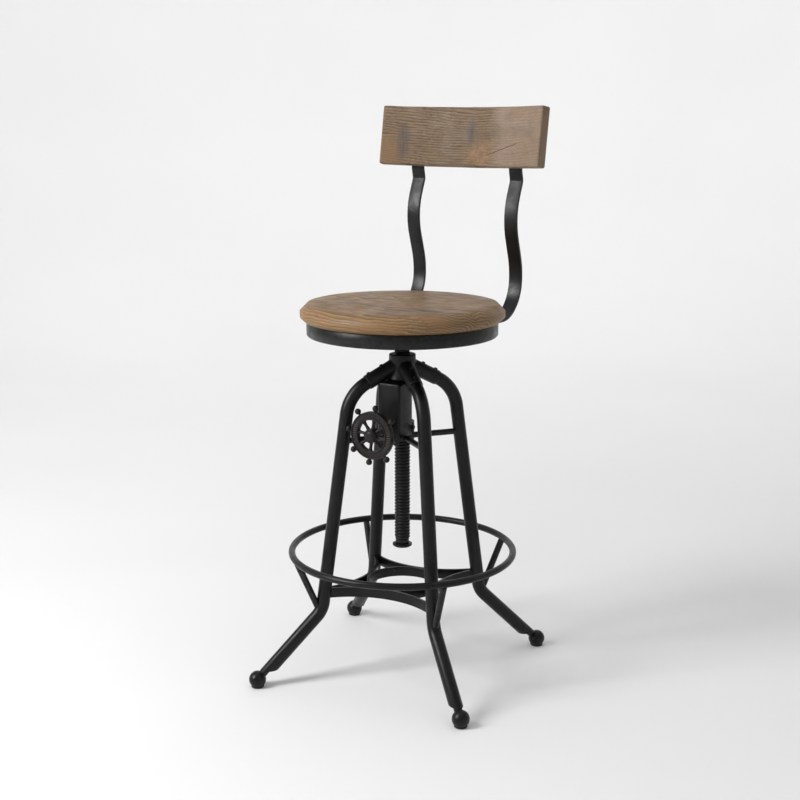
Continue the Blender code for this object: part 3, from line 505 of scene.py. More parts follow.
def coat_material(name, colour, wear_and_highlight_tone, roughness, pebble, cast=0.0):
    g, tone, gloss, normal = coat_layers(name, colour, wear_and_highlight_tone, roughness, pebble, cast)
    return g.finish(tone, gloss, normal, specular=COAT_SPECULAR)


def steel_material(name):
    """Machined steel inside the drive: turning lines and a film of dark oil."""
    g = Graph(name)
    lines = g.noise(g.scaled(g.place, (1.0, 1.0, 30.0)), 90.0, 3.0, 0.6)
    oil = g.fit(g.noise(g.place, 55.0, 5.0, 0.65), 0.40, 0.62)
    tone = g.mix(oil, g.ramp(lines, [(0.3, (0.23, 0.22, 0.21)), (0.7, (0.42, 0.41, 0.39))]), (0.035, 0.028, 0.022))
    return g.finish(tone, g.fit(oil, 0.0, 1.0, 0.32, 0.50), g.bump(lines, 0.0002, 0.5), metallic=0.9)


def rubber_material(name):
    """Moulded glide: matt, speckled with floor dust."""
    g = Graph(name)
    speck = g.noise(g.place, 1400.0, 3.0, 0.7)
    tone = g.ramp(speck, [(0.45, (0.013, 0.013, 0.013)), (0.72, (0.055, 0.053, 0.050))])
    return g.finish(tone, g.fit(speck, 0.3, 0.7, 0.72, 0.9), g.bump(speck, 0.0001, 0.6), specular=0.3)


def wheel_material(name, colour, wear_and_highlight_tone):
    """The crank wheel's casting, with a rope pattern chased into the flat between the rim's two beads."""
    g, tone, gloss, normal = coat_layers(name, colour, wear_and_highlight_tone, 0.44, 0.8, 0.5)
    middle = WHEEL_MIDDLE + AXIS
    x, _, z = g.parts(g.shifted(g.place, tuple(-c for c in middle)))
    radius = g.math("SQRT", g.plus(g.times(x, x), g.times(z, z)))
    angle = g.math("ARCTAN2", x, z)
    band = (RIM_R_IN + RIM_R_OUT) / 2.0
    across = g.math("DIVIDE", g.math("SUBTRACT", radius, band), 0.5 * (RIM_R_OUT - RIM_R_IN))
    inside = g.fit(g.math("ABSOLUTE", across), 0.42, 0.56, 1.0, 0.0)
    strand = g.math("SINE", g.plus(g.times(angle, 56.0), g.times(across, 3.4)))
    rope = g.times(inside, g.math("MULTIPLY_ADD", strand, 0.5, 0.5))
    # The rope's raised strands are mixed toward the lighter tone: partly worn crests, partly painted glints.
    tone = g.mix(g.times(rope, 0.30), tone, wear_and_highlight_tone)
    return g.finish(tone, gloss, g.bump(rope, 0.0012, 0.9, normal), specular=COAT_SPECULAR)


# ---------------------------------------------------------------- wood


def grain(g, boards, seed):
    """Growth rings, fibres and pores that run along X, each board with its own share of the log."""
    x, y, z = g.parts(g.place)
    if boards:
        width, shift = boards
        count = g.math("DIVIDE", g.plus(y, shift), width)
        index = g.math("FLOOR", count)
        own = g.parts(g.node("ShaderNodeTexWhiteNoise", {"W": g.plus(index, seed)},
                             noise_dimensions="1D").outputs["Color"])
        share = g.math("FRACT", count)
        edge = g.times(g.math("MINIMUM", share, g.math("SUBTRACT", 1.0, share)), width)
        joint = g.fit(edge, 0.0002, 0.0011, 1.0, 0.0)
    else:
        own = (0.37 + 0.1 * seed, 0.61, 0.45)
        joint = 0.0
    log = g.vector(g.math("MULTIPLY_ADD", own[0], 3.1, x), g.math("MULTIPLY_ADD", own[1], 0.35, y),
                   g.math("MULTIPLY_ADD", own[2], 0.12, z))
    drift = g.noise(g.scaled(log, (3.2, 11.0, 11.0)), 1.0, 3.0, 0.5, colour=True)
    wander = g.scaled(g.shifted(drift, (-0.5, -0.5, -0.5)), (0.0, 0.055, 0.055))
    bent = g.shifted(g.scaled(log, (0.10, 1.0, 1.0)), wander)
    rings = g.node("ShaderNodeTexWave", {"Vector": bent, "Scale": 62.0, "Distortion": 0.6, "Detail": 3.0,
                                         "Detail Scale": 2.2, "Detail Roughness": 0.6},
                   wave_type="RINGS", rings_direction="X", wave_profile="SAW").outputs["Fac"]
    fibre = g.noise(g.scaled(bent, (60.0, 560.0, 560.0)), 1.0, 5.0, 0.70)
    pores = g.noise(g.scaled(bent, (260.0, 1500.0, 1500.0)), 1.0, 2.0, 0.5)
    return own, joint, rings, fibre, pores


def saw_marks(g, wavelength, patches):
    """Fine lines across the grain left by the saw, only in patches."""
    x, y, z = g.parts(g.place)
    lean = g.math("MULTIPLY_ADD", g.plus(y, z), 0.18, x)
    wobble = g.times(g.noise(g.place, 38.0, 3.0), 0.9 * wavelength)
    phase = g.times(g.plus(lean, wobble), 2.0 * pi / wavelength)
    lines = g.fit(g.math("SINE", phase), 0.35, 0.95)
    broken = g.fit(g.noise(g.scaled(g.place, (260.0, 120.0, 120.0)), 1.0, 2.0), 0.42, 0.60)
    return g.times(g.times(lines, broken), patches)


def seat_wood_material():
    g = Graph("weathered_seat_wood")
    own, joint, rings, fibre, pores = grain(g, (0.082, 0.132), 4.0)
    figure = g.plus(g.times(rings, 0.42), g.times(fibre, 0.58))
    tone = g.ramp(figure, [(0.28, (0.046, 0.024, 0.011)), (0.42, (0.118, 0.067, 0.030)),
                           (0.58, (0.200, 0.124, 0.058)), (0.76, (0.325, 0.218, 0.116))])
    level = g.math("MULTIPLY_ADD", own[0], 0.14, 0.93)
    tone = g.node("ShaderNodeHueSaturation", {"Color": tone, "Value": level, "Saturation": 1.12}).outputs[0]
    warm = g.fit(g.noise(g.scaled(g.place, (9.0, 22.0, 22.0)), 1.0, 3.0), 0.46, 0.66, 0.0, 0.60)
    tone = g.mix(warm, tone, (0.235, 0.112, 0.038))
    grey = g.fit(g.noise(g.scaled(g.shifted(g.place, (3.0, 1.0, 0.0)), (7.0, 16.0, 16.0)), 1.0, 4.0, 0.6),
                 0.48, 0.70, 0.0, 0.35)
    tone = g.mix(grey, tone, (0.100, 0.074, 0.050))
    marks = saw_marks(g, 0.0026, g.fit(g.noise(g.shifted(g.place, (0.0, 5.0, 0.0)), 13.0, 2.0), 0.52, 0.62))
    tone = g.mix(g.times(marks, 0.35), tone, (0.085, 0.050, 0.030))
    tone = g.mix(g.fit(pores, 0.60, 0.72, 0.0, 0.65), tone, (0.080, 0.044, 0.024))
    edge = g.node("ShaderNodeAttribute", attribute_name="convexity").outputs["Fac"]
    tone = g.mix(g.times(edge, 0.30), tone, (0.46, 0.29, 0.16))
    tone = g.mix(g.times(joint, 0.28), tone, (0.060, 0.036, 0.022))
    relief = g.math("SUBTRACT", g.plus(g.times(fibre, 0.7), g.times(rings, 0.3)),
                    g.plus(g.times(marks, 0.5), g.times(joint, 0.5)))
    gloss = g.fit(g.noise(g.place, 30.0, 4.0), 0.30, 0.70, 0.42, 0.58)
    return g.finish(tone, gloss, g.bump(relief, 0.0007, 0.45), specular=0.42)


def back_point(across, up):
    """A spot on the backrest's front face, in the stool's own coordinates."""
    return tuple(plank_point(across, up, 0.0) + AXIS)


def back_wood_material():
    """Rough-sawn plank: two grey smudges, an orange scorched patch, a long check and saw marks."""
    g = Graph("weathered_back_wood")
    own, joint, rings, fibre, pores = grain(g, None, 1.0)
    x, y, z = g.parts(g.place)
    figure = g.plus(g.times(rings, 0.28), g.times(fibre, 0.72))
    tone = g.ramp(figure, [(0.30, (0.046, 0.027, 0.014)), (0.42, (0.112, 0.070, 0.037)),
                           (0.58, (0.182, 0.121, 0.069)), (0.74, (0.270, 0.192, 0.122))])
    pink = g.fit(x, 0.045, 0.085, 0.0, 0.60)
    tone = g.mix(pink, tone, (0.275, 0.192, 0.138))
    warm_left = g.times(g.blob(back_point(-0.150, 0.024), (0.060, 0.05, 0.052)), 0.60)
    tone = g.mix(warm_left, tone, (0.205, 0.112, 0.048))
    scorched = g.times(g.blob(back_point(0.036, 0.026), (0.042, 0.05, 0.036)),
                      g.fit(g.noise(g.place, 60.0, 4.0, 0.65), 0.30, 0.62, 0.25, 0.85))
    tone = g.mix(scorched, tone, (0.300, 0.165, 0.082))
    patchy = g.noise(g.scaled(g.place, (16.0, 30.0, 22.0)), 1.0, 4.0, 0.6)
    tone = g.mix(g.fit(patchy, 0.50, 0.72, 0.0, 0.45), tone, (0.105, 0.079, 0.056))
    streaky = g.noise(g.scaled(g.place, (260.0, 60.0, 34.0)), 1.0, 4.0, 0.6)
    smudges = g.math("MAXIMUM", g.blob(back_point(-0.124, 0.042), (0.019, 0.05, 0.052)),
                     g.blob(back_point(0.016, 0.064), (0.013, 0.05, 0.036)))
    smudges = g.times(smudges, g.fit(streaky, 0.30, 0.60, 0.55, 1.0))
    tone = g.mix(g.times(smudges, 0.80), tone, (0.060, 0.052, 0.054))
    sawn = g.math("MAXIMUM", g.math("MAXIMUM", smudges, g.blob(back_point(0.036, 0.024), (0.055, 0.05, 0.045))),
                  g.fit(g.noise(g.shifted(g.place, (2.0, 0.0, 3.0)), 15.0, 2.0), 0.50, 0.62, 0.0, 0.75))
    marks = saw_marks(g, 0.0022, sawn)
    tone = g.mix(g.times(marks, 0.55), tone, (0.075, 0.048, 0.030))
    tone = g.mix(g.fit(pores, 0.58, 0.70, 0.0, 0.60), tone, (0.075, 0.046, 0.028))
    rise = g.math("SUBTRACT", z, back_point(0.084, 0.032)[2])
    slope = g.times(g.math("SUBTRACT", x, 0.084), 0.34)
    off = g.math("ABSOLUTE", g.plus(g.math("SUBTRACT", rise, slope),
                                    g.math("MULTIPLY_ADD", g.noise(g.place, 70.0, 3.0), 0.006, -0.003)))
    check = g.times(g.fit(off, 0.0002, 0.0011, 1.0, 0.0),
                   g.fit(g.math("ABSOLUTE", g.math("SUBTRACT", x, 0.084)), 0.026, 0.036, 1.0, 0.0))
    tone = g.mix(g.times(check, 0.85), tone, (0.045, 0.028, 0.020))
    edge = g.node("ShaderNodeAttribute", attribute_name="convexity").outputs["Fac"]
    tone = g.mix(g.times(edge, 0.25), tone, (0.150, 0.100, 0.062))
    relief = g.math("SUBTRACT", g.plus(g.times(fibre, 0.8), g.times(rings, 0.2)),
                    g.plus(g.times(marks, 0.7), g.times(check, 1.5)))
    gloss = g.fit(g.noise(g.place, 26.0, 4.0), 0.30, 0.70, 0.52, 0.68)
    return g.finish(tone, gloss, g.bump(relief, 0.0008, 0.55), specular=0.35)


# ---------------------------------------------------------------- legs, feet and hub


def leg_azimuth(index):
    return LEG_TURN + index * pi / 2.0


def leg_radius_at(z):
    """Radius from the axis of the straight upper leg's centre line at a height between knee and shoulder."""
    share = (z - KNEE[1]) / (SHOULDER[1] - KNEE[1])
    return KNEE[0] + (SHOULDER[0] - KNEE[0]) * share


def leg_shape(azimuth, radius, start_r):
    start = (start_r, SHOULDER[1] + (SHOULDER[0] - start_r) * tan(SOCKET_SLOPE))
    path = rounded_path((start, SHOULDER, KNEE, LEG_TOE), (SHOULDER_BEND, KNEE_BEND), ARC_STEP)
    points = [polar(p.x, azimuth, p.y) for p in path]
    side = polar(1.0, azimuth + pi / 2.0, 0.0)
    return swept(points, circle_section(radius, 36), side)


def ball_shape(foot, radius, lowest_z):
    drop = min((BALL_Z - lowest_z) / radius, 1.0)
    profile = ball_profile(radius, BALL_Z, -asin(drop), 18)
    return turned(profile, 40, place=Matrix.Translation((foot.x, foot.y, 0.0)))


def neck_shape(azimuth):
    """The bar that carries the foot ball, along the inside of the lower leg's upper wall."""
    start = polar(NECK_START[0], azimuth, NECK_START[1])
    end = polar(LEG_TOE[0], azimuth, LEG_TOE[1])
    rise = (end - start).cross(polar(1.0, azimuth + pi / 2.0, 0.0)).normalized() * NECK_RISE
    if rise.z < 0.0:
        rise = -rise
    return rod(start + rise, end + rise, NECK_R)


def build_legs(coat):
    for index, name in enumerate(LEG_NAMES):
        azimuth = leg_azimuth(index)
        foot = polar(FOOT_R, azimuth, 0.0)
        below = box((foot.x - 0.05, foot.y - 0.05, -0.05), (foot.x + 0.05, foot.y + 0.05, TUBE_CUT_Z))
        inside_ball = ball_shape(foot, BALL_R + GAP, -0.01)
        tube = shape_of(baked(leg_shape(azimuth, TUBE_R, ARM_END_R + GAP), cut=(below,)))
        leg = baked(tube, joined=(neck_shape(azimuth),), cut=(inside_ball,), bevel=0.0006, segments=2)
        add_piece(f"leg_{name}", leg, "base", coat)
        ball = baked(ball_shape(foot, BALL_R, GLIDE_TOP + GAP), bevel=0.0005, segments=2)
        add_piece(f"foot_ball_{name}", ball, "base", coat)


def socket_axis(azimuth, radius):
    """The point on a socket's axis at this radius from the screw."""
    return polar(radius, azimuth, SHOULDER[1] + (SHOULDER[0] - radius) * tan(SOCKET_SLOPE))


def arm_shape(azimuth, grow=0.0):
    """A socket's outer body, from an upright oval inside the hub to a round end square to its axis."""
    side = polar(1.0, azimuth + pi / 2.0, 0.0)
    root = socket_axis(azimuth, ARM_START_R)
    end = socket_axis(azimuth, ARM_END_R)
    square_up = side.cross(root - end).normalized()
    up = Vector((0.0, 0.0, 1.0))
    sides = 40
    inner = [root + side * (a * (ARM_W_IN + grow)) + up * (b * (ARM_H_IN + grow))
             for a, b in circle_section(1.0, sides)]
    outer = [end + side * a + square_up * b for a, b in circle_section(ARM_R_OUT + grow, sides)]
    return loft([inner, outer])


def build_hub(coat):
    """The collar and its four sockets, run together by a fine remesh so that they blend like a casting."""
    edge = 0.0012
    flare = 0.0070
    collar = rounded_profile(((0.0005, HUB_BOTTOM), (COLLAR_R + flare, HUB_BOTTOM),
                              (COLLAR_R, HUB_BOTTOM + 2.5 * flare), (COLLAR_R, HUB_TOP), (0.0005, HUB_TOP)),
                             (2.0 * edge, flare, edge))
    arms = [arm_shape(leg_azimuth(index)) for index in range(4)]
    blended = shape_of(baked(turned(collar, 64), joined=arms, voxel=0.0008, smoothing=26))
    bore = turned([(HUB_BORE_R, HUB_BOTTOM - 0.03), (HUB_BORE_R, HUB_TOP + 0.03)], 64)
    sockets = []
    for index in range(4):
        azimuth = leg_azimuth(index)
        sockets.append(rod(socket_axis(azimuth, ARM_END_R - 0.004), socket_axis(azimuth, ARM_END_R + 0.02),
                           TUBE_R + 0.0002, 36))
    add_piece("hub_casting", baked(blended, cut=(bore, *sockets)), "base", coat)


def build_socket_screws(coat):
    """Low domes with a hexagon recess on top of each socket, standing square to its sloping upper side."""
    for index, name in enumerate(LEG_NAMES):
        azimuth = leg_azimuth(index)
        along = (socket_axis(azimuth, 1.0) - socket_axis(azimuth, 0.0)).normalized()
        up = along.cross(polar(1.0, azimuth + pi / 2.0, 0.0))
        for label, radius in zip(("inner", "outer"), SOCKET_SCREWS):
            share = (radius - ARM_START_R) / (ARM_END_R - ARM_START_R)
            surface = ARM_H_IN * cos(SOCKET_SLOPE) * (1.0 - share) + ARM_R_OUT * share
            place = upright_place(socket_axis(azimuth, radius) + up * (surface - 0.0004), up)
            dome = rounded_profile(((0.0034, 0.0), (0.0034, 0.0014), (0.0023, 0.0024), (TIP_R, 0.0025)),
                                   (0.0007, 0.0007), CHAMFER)
            recess = turned([(0.0013, 0.0012), (0.0013, 0.01)], 6, place=place)
            mesh = baked(turned(dome, 24, place=place), cut=(recess,))
            add_piece(f"socket_screw_{label}_{name}", mesh, "base", coat)


# ---------------------------------------------------------------- footrest ring and braces


def build_ring(coat):
    sides = 160
    rings = []
    for k in range(sides):
        azimuth = 2.0 * pi * k / sides
        centre = polar(RING_R, azimuth, RING_Z)
        away = polar(1.0, azimuth, 0.0)
        rings.append([centre + away * a + Vector((0.0, 0.0, b)) for a, b in circle_section(RING_ROD_R, 20)])
    add_piece("footrest_ring", baked(loft(rings, closed=True)), "base", coat)
    for index, name in enumerate(LEG_NAMES):
        azimuth = leg_azimuth(index)
        foot = polar(KNEE[0] + STRUT_FOOT_OUT, azimuth, STRUT_FOOT_Z)
        top = polar(RING_R, azimuth, RING_Z)
        aim = (top - foot).normalized()
        strut = rod(foot, top - aim * (RING_ROD_R - 0.0008), STRUT_R, 28)
        add_piece(f"ring_strut_{name}", baked(strut, cut=(fat_leg(index),)), "base", coat)


def fat_leg(index):
    return leg_shape(leg_azimuth(index), TUBE_R + GAP / 2.0, ARM_END_R + GAP)


def build_braces(coat):
    """Straps bent in toward the screw's axis between neighbouring legs, and the hoop inside them."""
    middle_z = sum(BRACE_Z) / 2.0
    height = BRACE_Z[1] - BRACE_Z[0]
    leg_offset = leg_radius_at(middle_z) * sin(pi / 4.0)
    half_chord = leg_offset - STRAP_SIDE * sin(pi / 4.0)
    bulge = leg_offset + STRAP_SIDE * sin(pi / 4.0) - STRAP_BULGE_R
    arc_r = (half_chord ** 2 + bulge ** 2) / (2.0 * bulge)
    half_turn = asin(half_chord / arc_r)
    up = Vector((0.0, 0.0, 1.0))
    steps = 40
    for index, name in enumerate(("right", "rear", "left", "front")):
        outward_azimuth = leg_azimuth(index) + pi / 4.0
        centre = polar(STRAP_BULGE_R + arc_r, outward_azimuth, middle_z)
        turns = [half_turn * (2.0 * k / steps - 1.0) for k in range(steps + 1)]
        points = [centre + polar(arc_r, outward_azimuth + pi + turn, 0.0) for turn in turns]
        strap = swept(points, bar_section(height, BRACE_T), up)
        mesh = baked(strap, cut=(fat_leg(index), fat_leg((index + 1) % 4)), bevel=0.0010, segments=3)
        add_piece(f"brace_strap_{name}", mesh, "base", coat)
    inner = HOOP_OUTER_R - BRACE_T
    low, high = BRACE_Z
    profile = [(inner, low), (HOOP_OUTER_R, low), (HOOP_OUTER_R, high), (inner, high)]
    add_piece("brace_hoop", baked(turned(profile, 96, bored=True), bevel=0.0010, segments=3), "base", coat)


def build_stays(coat):
    for index, name in enumerate(LEG_NAMES):
        azimuth = leg_azimuth(index)
        start = polar(HOUSING_R, azimuth, STAY_Z)
        end = polar(leg_radius_at(STAY_Z), azimuth, STAY_Z)
        add_piece(f"stay_rod_{name}", baked(rod(start, end, STAY_R), cut=(fat_leg(index),)), "base", coat)


# ---------------------------------------------------------------- gear bracket, nut housing and crank wheel


def build_bracket(coat, screw_finish):
    low, high = BRACKET_Z
    fold = 0.0048
    outer = shape_of(baked(box((-BRACKET_HALF_W, BRACKET_FRONT, low - 2.0 * fold),
                               (BRACKET_HALF_W, BRACKET_BACK + 2.0 * fold, high)), bevel=fold, segments=6))
    wide = 0.1
    behind = box((-wide, BRACKET_BACK, low - wide), (wide, BRACKET_BACK + wide, high + wide))
    under = box((-wide, BRACKET_FRONT - wide, low - wide), (wide, BRACKET_BACK + wide, low))
    hollow = box((-BRACKET_HALF_W + PLATE_T, BRACKET_FRONT + PLATE_T, low - 0.02),
                 (BRACKET_HALF_W - PLATE_T, BRACKET_BACK + 0.02, high - PLATE_T))
    notch = turned([(CREST_R + 0.0012, low - 0.02), (CREST_R + 0.0012, high + 0.02)], 48)
    hole = rod(Vector((0.0, BRACKET_FRONT - 0.02, WHEEL_MIDDLE.z)),
               Vector((0.0, BRACKET_FRONT + 0.02, WHEEL_MIDDLE.z)), BUSH_R + GAP, 40)
    arms = [arm_shape(leg_azimuth(index), grow=2.0 * GAP) for index in (0, 3)]
    mesh = baked(outer, cut=(behind, under, hollow, notch, hole, *arms), bevel=0.0005, segments=2)
    add_piece("gear_bracket", mesh, "base", coat)
    for label, sign in (("left", -1.0), ("right", 1.0)):
        seat = Vector((sign * (HOUSING_R - 0.0006), 0.0, 0.4600))
        bolt = rod(seat, seat + Vector((sign * 0.0038, 0.0, 0.0)), 0.0042, 6)
        add_piece(f"housing_bolt_{label}", baked(bolt, bevel=0.0005, segments=2), "base", screw_finish)


def build_housing(coat):
    low = HOUSING_Z[0]
    hole = CREST_R + 0.0008
    floor = low + PLATE_T
    cup = [(hole, low), (HOUSING_R, low), (HOUSING_R, HOUSING_CUP_TOP), (HOUSING_BORE_R, HOUSING_CUP_TOP),
           (HOUSING_BORE_R, floor), (hole, floor)]
    wall_low = HOUSING_CUP_TOP - 0.002
    wall = turned([(HOUSING_BORE_R, wall_low), (HOUSING_R, wall_low), (HOUSING_R, HOUSING_Z[1]),
                   (HOUSING_BORE_R, HOUSING_Z[1])], 72, bored=True)
    front = box((-0.05, -0.05, HOUSING_CUP_TOP), (0.05, BRACKET_BACK + GAP, HOUSING_Z[1] + 0.01))
    mesh = baked(turned(cup, 72, bored=True), joined=(wall,), cut=(front,), bevel=0.0007, segments=2)
    add_piece("nut_housing", mesh, "base", coat)


def rim_profile():
    """The rim's section as (radius, depth) points: a bead on either side of a sunk flat on its front and its back."""
    half = RIM_T / 2.0
    middle = (RIM_R_IN + RIM_R_OUT) / 2.0
    flat = 0.55 * (RIM_R_OUT - RIM_R_IN) / 2.0
    sunk = half - 0.0014
    bead = (RIM_R_OUT - RIM_R_IN) / 2.0 - flat
    points = []
    for face in (1.0, -1.0):
        for centre in (middle + face * (flat + bead / 2.0), middle - face * (flat + bead / 2.0)):
            for k in range(7):
                a = pi * k / 6.0
                points.append((centre + face * bead / 2.0 * cos(a), face * (sunk + 0.0014 * sin(a))))
    return points


def build_wheel(finish, coat):
    """The ship's wheel: beaded rim, spokes and ball-ended handles, with a hub and its domed cap."""
    facing = Matrix.Translation(WHEEL_MIDDLE) @ FORWARD
    half = WHEEL_HUB_L / 2.0
    hub = rounded_profile(((TIP_R, -half), (WHEEL_HUB_R, -half), (WHEEL_HUB_R, half), (TIP_R, half)),
                          (0.0015, 0.0015))
    extras = [turned(hub, 48, place=facing)]
    for k in range(SPOKES):
        turn = WHEEL_PHASE + 2.0 * pi * k / SPOKES
        place = upright_place(WHEEL_MIDDLE, Vector((sin(turn), 0.0, cos(turn))))
        middle_r = 0.5 * (WHEEL_HUB_R + RIM_R_IN)
        spoke = [(0.0038, WHEEL_HUB_R - 0.002), (0.0031, WHEEL_HUB_R + 0.003), (0.0027, middle_r),
                 (0.0032, RIM_R_IN - 0.003), (0.0042, RIM_R_IN + 0.002)]
        extras.append(turned(spoke, 20, place=place))
        neck = [(0.0034, RIM_R_OUT - 0.002), (0.0024, RIM_R_OUT + 0.0006), (0.0022, RIM_R_OUT + 0.0016)]
        extras.append(turned(neck + ball_profile(KNOB_R, KNOB_CENTRE_R, -1.05, 10), 20, place=place))
    mesh = baked(turned(rim_profile(), 120, bored=True, place=facing), joined=extras)
    add_piece("handwheel", mesh, "crank", finish, 45.0)

    low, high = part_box("handwheel_cap")
    cap_r = (high.x - low.x) / 2.0
    cap_h = high.y - low.y
    place = Matrix.Translation(Vector((0.0, high.y - AXIS.y, WHEEL_MIDDLE.z))) @ FORWARD
    ring = 0.0009
    dome = [(cap_r, 0.0), (cap_r, ring), (cap_r - 0.3 * ring, 1.4 * ring), (cap_r - ring, 1.5 * ring),
            (cap_r - 1.3 * ring, ring)]
    inner_r = cap_r - 1.5 * ring
    for k in range(11):
        a = k * pi / 20.0
        dome.append((inner_r * cos(a) + TIP_R, ring + (cap_h - ring) * sin(a)))
    add_piece("handwheel_cap", baked(turned(dome, 48, place=place)), "crank", coat)


# ---------------------------------------------------------------- lift screw


def thread_reach(turn_share, z):
    """The thread's radius at a share of one pitch, faded out toward both ends of the thread."""
    rise = (0.5 + 0.5 * cos(2.0 * pi * turn_share)) ** 0.55
    low, high = THREAD_Z
    fade = min((z - low) / PITCH, (high - z) / PITCH, 1.0)
    return ROOT_R + (CREST_R - ROOT_R) * rise * max(fade, 0.0)


def thread_shape():
    """The threaded length as rows that climb with the thread, with a keyway down one side."""
    around = 48
    per_pitch = 10
    low, high = THREAD_Z
    count = int((high - low) / PITCH + 2.0) * per_pitch
    columns = []
    for k in range(around):
        share = k / around
        azimuth = KEYWAY_AZIMUTH + 2.0 * pi * share
        from_keyway = min(share, 1.0 - share) * 2.0 * pi
        column = []
        for i in range(count + 1):
            row = i / per_pitch - 1.0
            z = min(max(low + (row + share) * PITCH, low), high)
            reach = thread_reach(row, z)
            if from_keyway <= KEYWAY_HALF:
                reach = min(reach, KEYWAY_R)
            column.append(polar(reach, azimuth, z))
        columns.append(column)
    verts = [point for column in columns for point in column]
    faces = []
    rows = count + 1
    for k in range(around):
        shift = per_pitch if k == around - 1 else 0
        following = ((k + 1) % around) * rows
        for i in range(count - shift):
            a = k * rows + i
            b = following + i + shift
            faces.append((a, b, b + 1, a + 1))
    return verts, faces


def thread_mesh():
    """The thread closed at both ends by flat caps, with its collapsed rows merged away."""
    build = bmesh.new()
    add_faces(build, thread_shape())
    bmesh.ops.remove_doubles(build, verts=build.verts, dist=1e-6)
    bmesh.ops.dissolve_degenerate(build, edges=build.edges, dist=1e-6)
    bmesh.ops.holes_fill(build, edges=[edge for edge in build.edges if edge.is_boundary], sides=0)
    bmesh.ops.recalc_face_normals(build, faces=build.faces)
    mesh = bpy.data.meshes.new("thread")
    build.to_mesh(mesh)
    build.free()
    return mesh


def join_shape(mesh, shape):
    """Adds a separate closed shape to a mesh."""
    build = bmesh.new()
    build.from_mesh(mesh)
    bmesh.ops.recalc_face_normals(build, faces=add_faces(build, shape))
    build.to_mesh(mesh)
    build.free()


def build_lift(screw_finish, coat):
    mesh = thread_mesh()
    low, high = THREAD_Z
    foot = rounded_profile(((TIP_R, SCREW_Z[0]), (ROOT_R, SCREW_Z[0]), (ROOT_R, low + 0.0005), (TIP_R, low + 0.0005)),
                           (0.0004, 0.0004), CHAMFER)
    head = [(TIP_R, high - 0.0005), (ROOT_R, high - 0.0005), (CREST_R, high + 0.0010), (CREST_R, SCREW_SHOULDER_Z),
            (JOURNAL_R, SCREW_SHOULDER_Z), (JOURNAL_R, SCREW_Z[1]), (TIP_R, SCREW_Z[1])]
    join_shape(mesh, turned(foot, 48))
    join_shape(mesh, turned(head, 48))
    add_piece("lift_screw", mesh, "lift", screw_finish, 50.0)

    z0, z1 = STOP_Z
    flare = rounded_profile(((TIP_R, z0), (STOP_R - 0.0030, z0), (STOP_R, z0 + 0.0022), (STOP_R, z1 - 0.0008),
                             (STOP_R - 0.0040, z1), (TIP_R, z1)), (0.0008, 0.0009, 0.0006, 0.0020))
    add_piece("screw_stop", baked(turned(flare, 64)), "lift", screw_finish)

    z0, z1 = THRUST_Z
    bore = CREST_R + GAP
    collar = [(bore, z0), (THRUST_R, z0), (THRUST_R, z1), (bore, z1)]
    add_piece("thrust_collar", baked(turned(collar, 64, bored=True), bevel=0.0010), "lift", coat)


# ---------------------------------------------------------------- seat and backrest


def build_seat(coat, wood):
    low, high = PAN_Z
    inner = PAN_R - RIM_BAND_T
    plate_low = high - PAN_T
    pan = rounded_profile(((TIP_R, plate_low), (inner, plate_low), (inner, low), (PAN_R, low), (PAN_R, high),
                           (TIP_R, high)), (0.0020, 0.0014, 0.0018, 0.0010), CHAMFER)
    add_piece("seat_pan", baked(turned(pan, 160)), "seat", coat, 50.0)

    low, high = WOOD_Z
    rings = [TIP_R] + [WOOD_R * share for share in (0.2, 0.4, 0.6, 0.75)]
    under = [(radius, low) for radius in rings]
    over = [(radius, high) for radius in reversed(rings)]
    edge = rounded_profile((under[-1], (WOOD_R, low), (WOOD_R, high), over[0]), (0.0078, 0.0125), CHAMFER)
    mesh = baked(turned(under + edge[1:-1] + over, 192))
    for vert in mesh.vertices:
        spread = vert.co.xy.length / WOOD_R
        ripple = noise.noise(vert.co * 16.0) * 0.0007 * spread
        vert.co.x *= 1.0 - abs(ripple) / WOOD_R
        vert.co.y *= 1.0 - abs(ripple) / WOOD_R
        if vert.co.z > (low + high) / 2.0:
            vert.co.z -= 0.0005 * abs(noise.noise(vert.co * 11.0)) + 0.0006 * (1.0 - min(spread, 1.0) ** 2)
    add_piece("seat_wood", mesh, "seat", wood, 60.0)


def build_uprights(coat):
    path = rounded_path(UPRIGHT_POINTS, UPRIGHT_BENDS, ARC_STEP)
    rim = turned([(PAN_R + GAP, 0.60), (PAN_R + GAP, 0.66)], 192)
    for label, sign in (("left", -1.0), ("right", 1.0)):
        points = [Vector((sign * UPRIGHT_X, p.x, p.y)) for p in path]
        bar = swept(points, bar_section(UPRIGHT_W, UPRIGHT_T), Vector((1.0, 0.0, 0.0)))
        add_piece(f"upright_{label}", baked(bar, cut=(rim,), bevel=0.0013, segments=4), "seat", coat)


def plank_point(across, up, depth):
    """A point of the backrest: across along its arc's front, up along its lean, depth back from its front face."""
    turn = across / BACK_ARC_R
    reach = BACK_ARC_R + depth
    x = reach * sin(turn)
    back = reach * cos(turn) - BACK_ARC_R
    return Vector((x, BACK_FRONT_Y + back * cos(BACK_LEAN) + up * sin(BACK_LEAN),
                   BACK_Z + up * cos(BACK_LEAN) - back * sin(BACK_LEAN)))


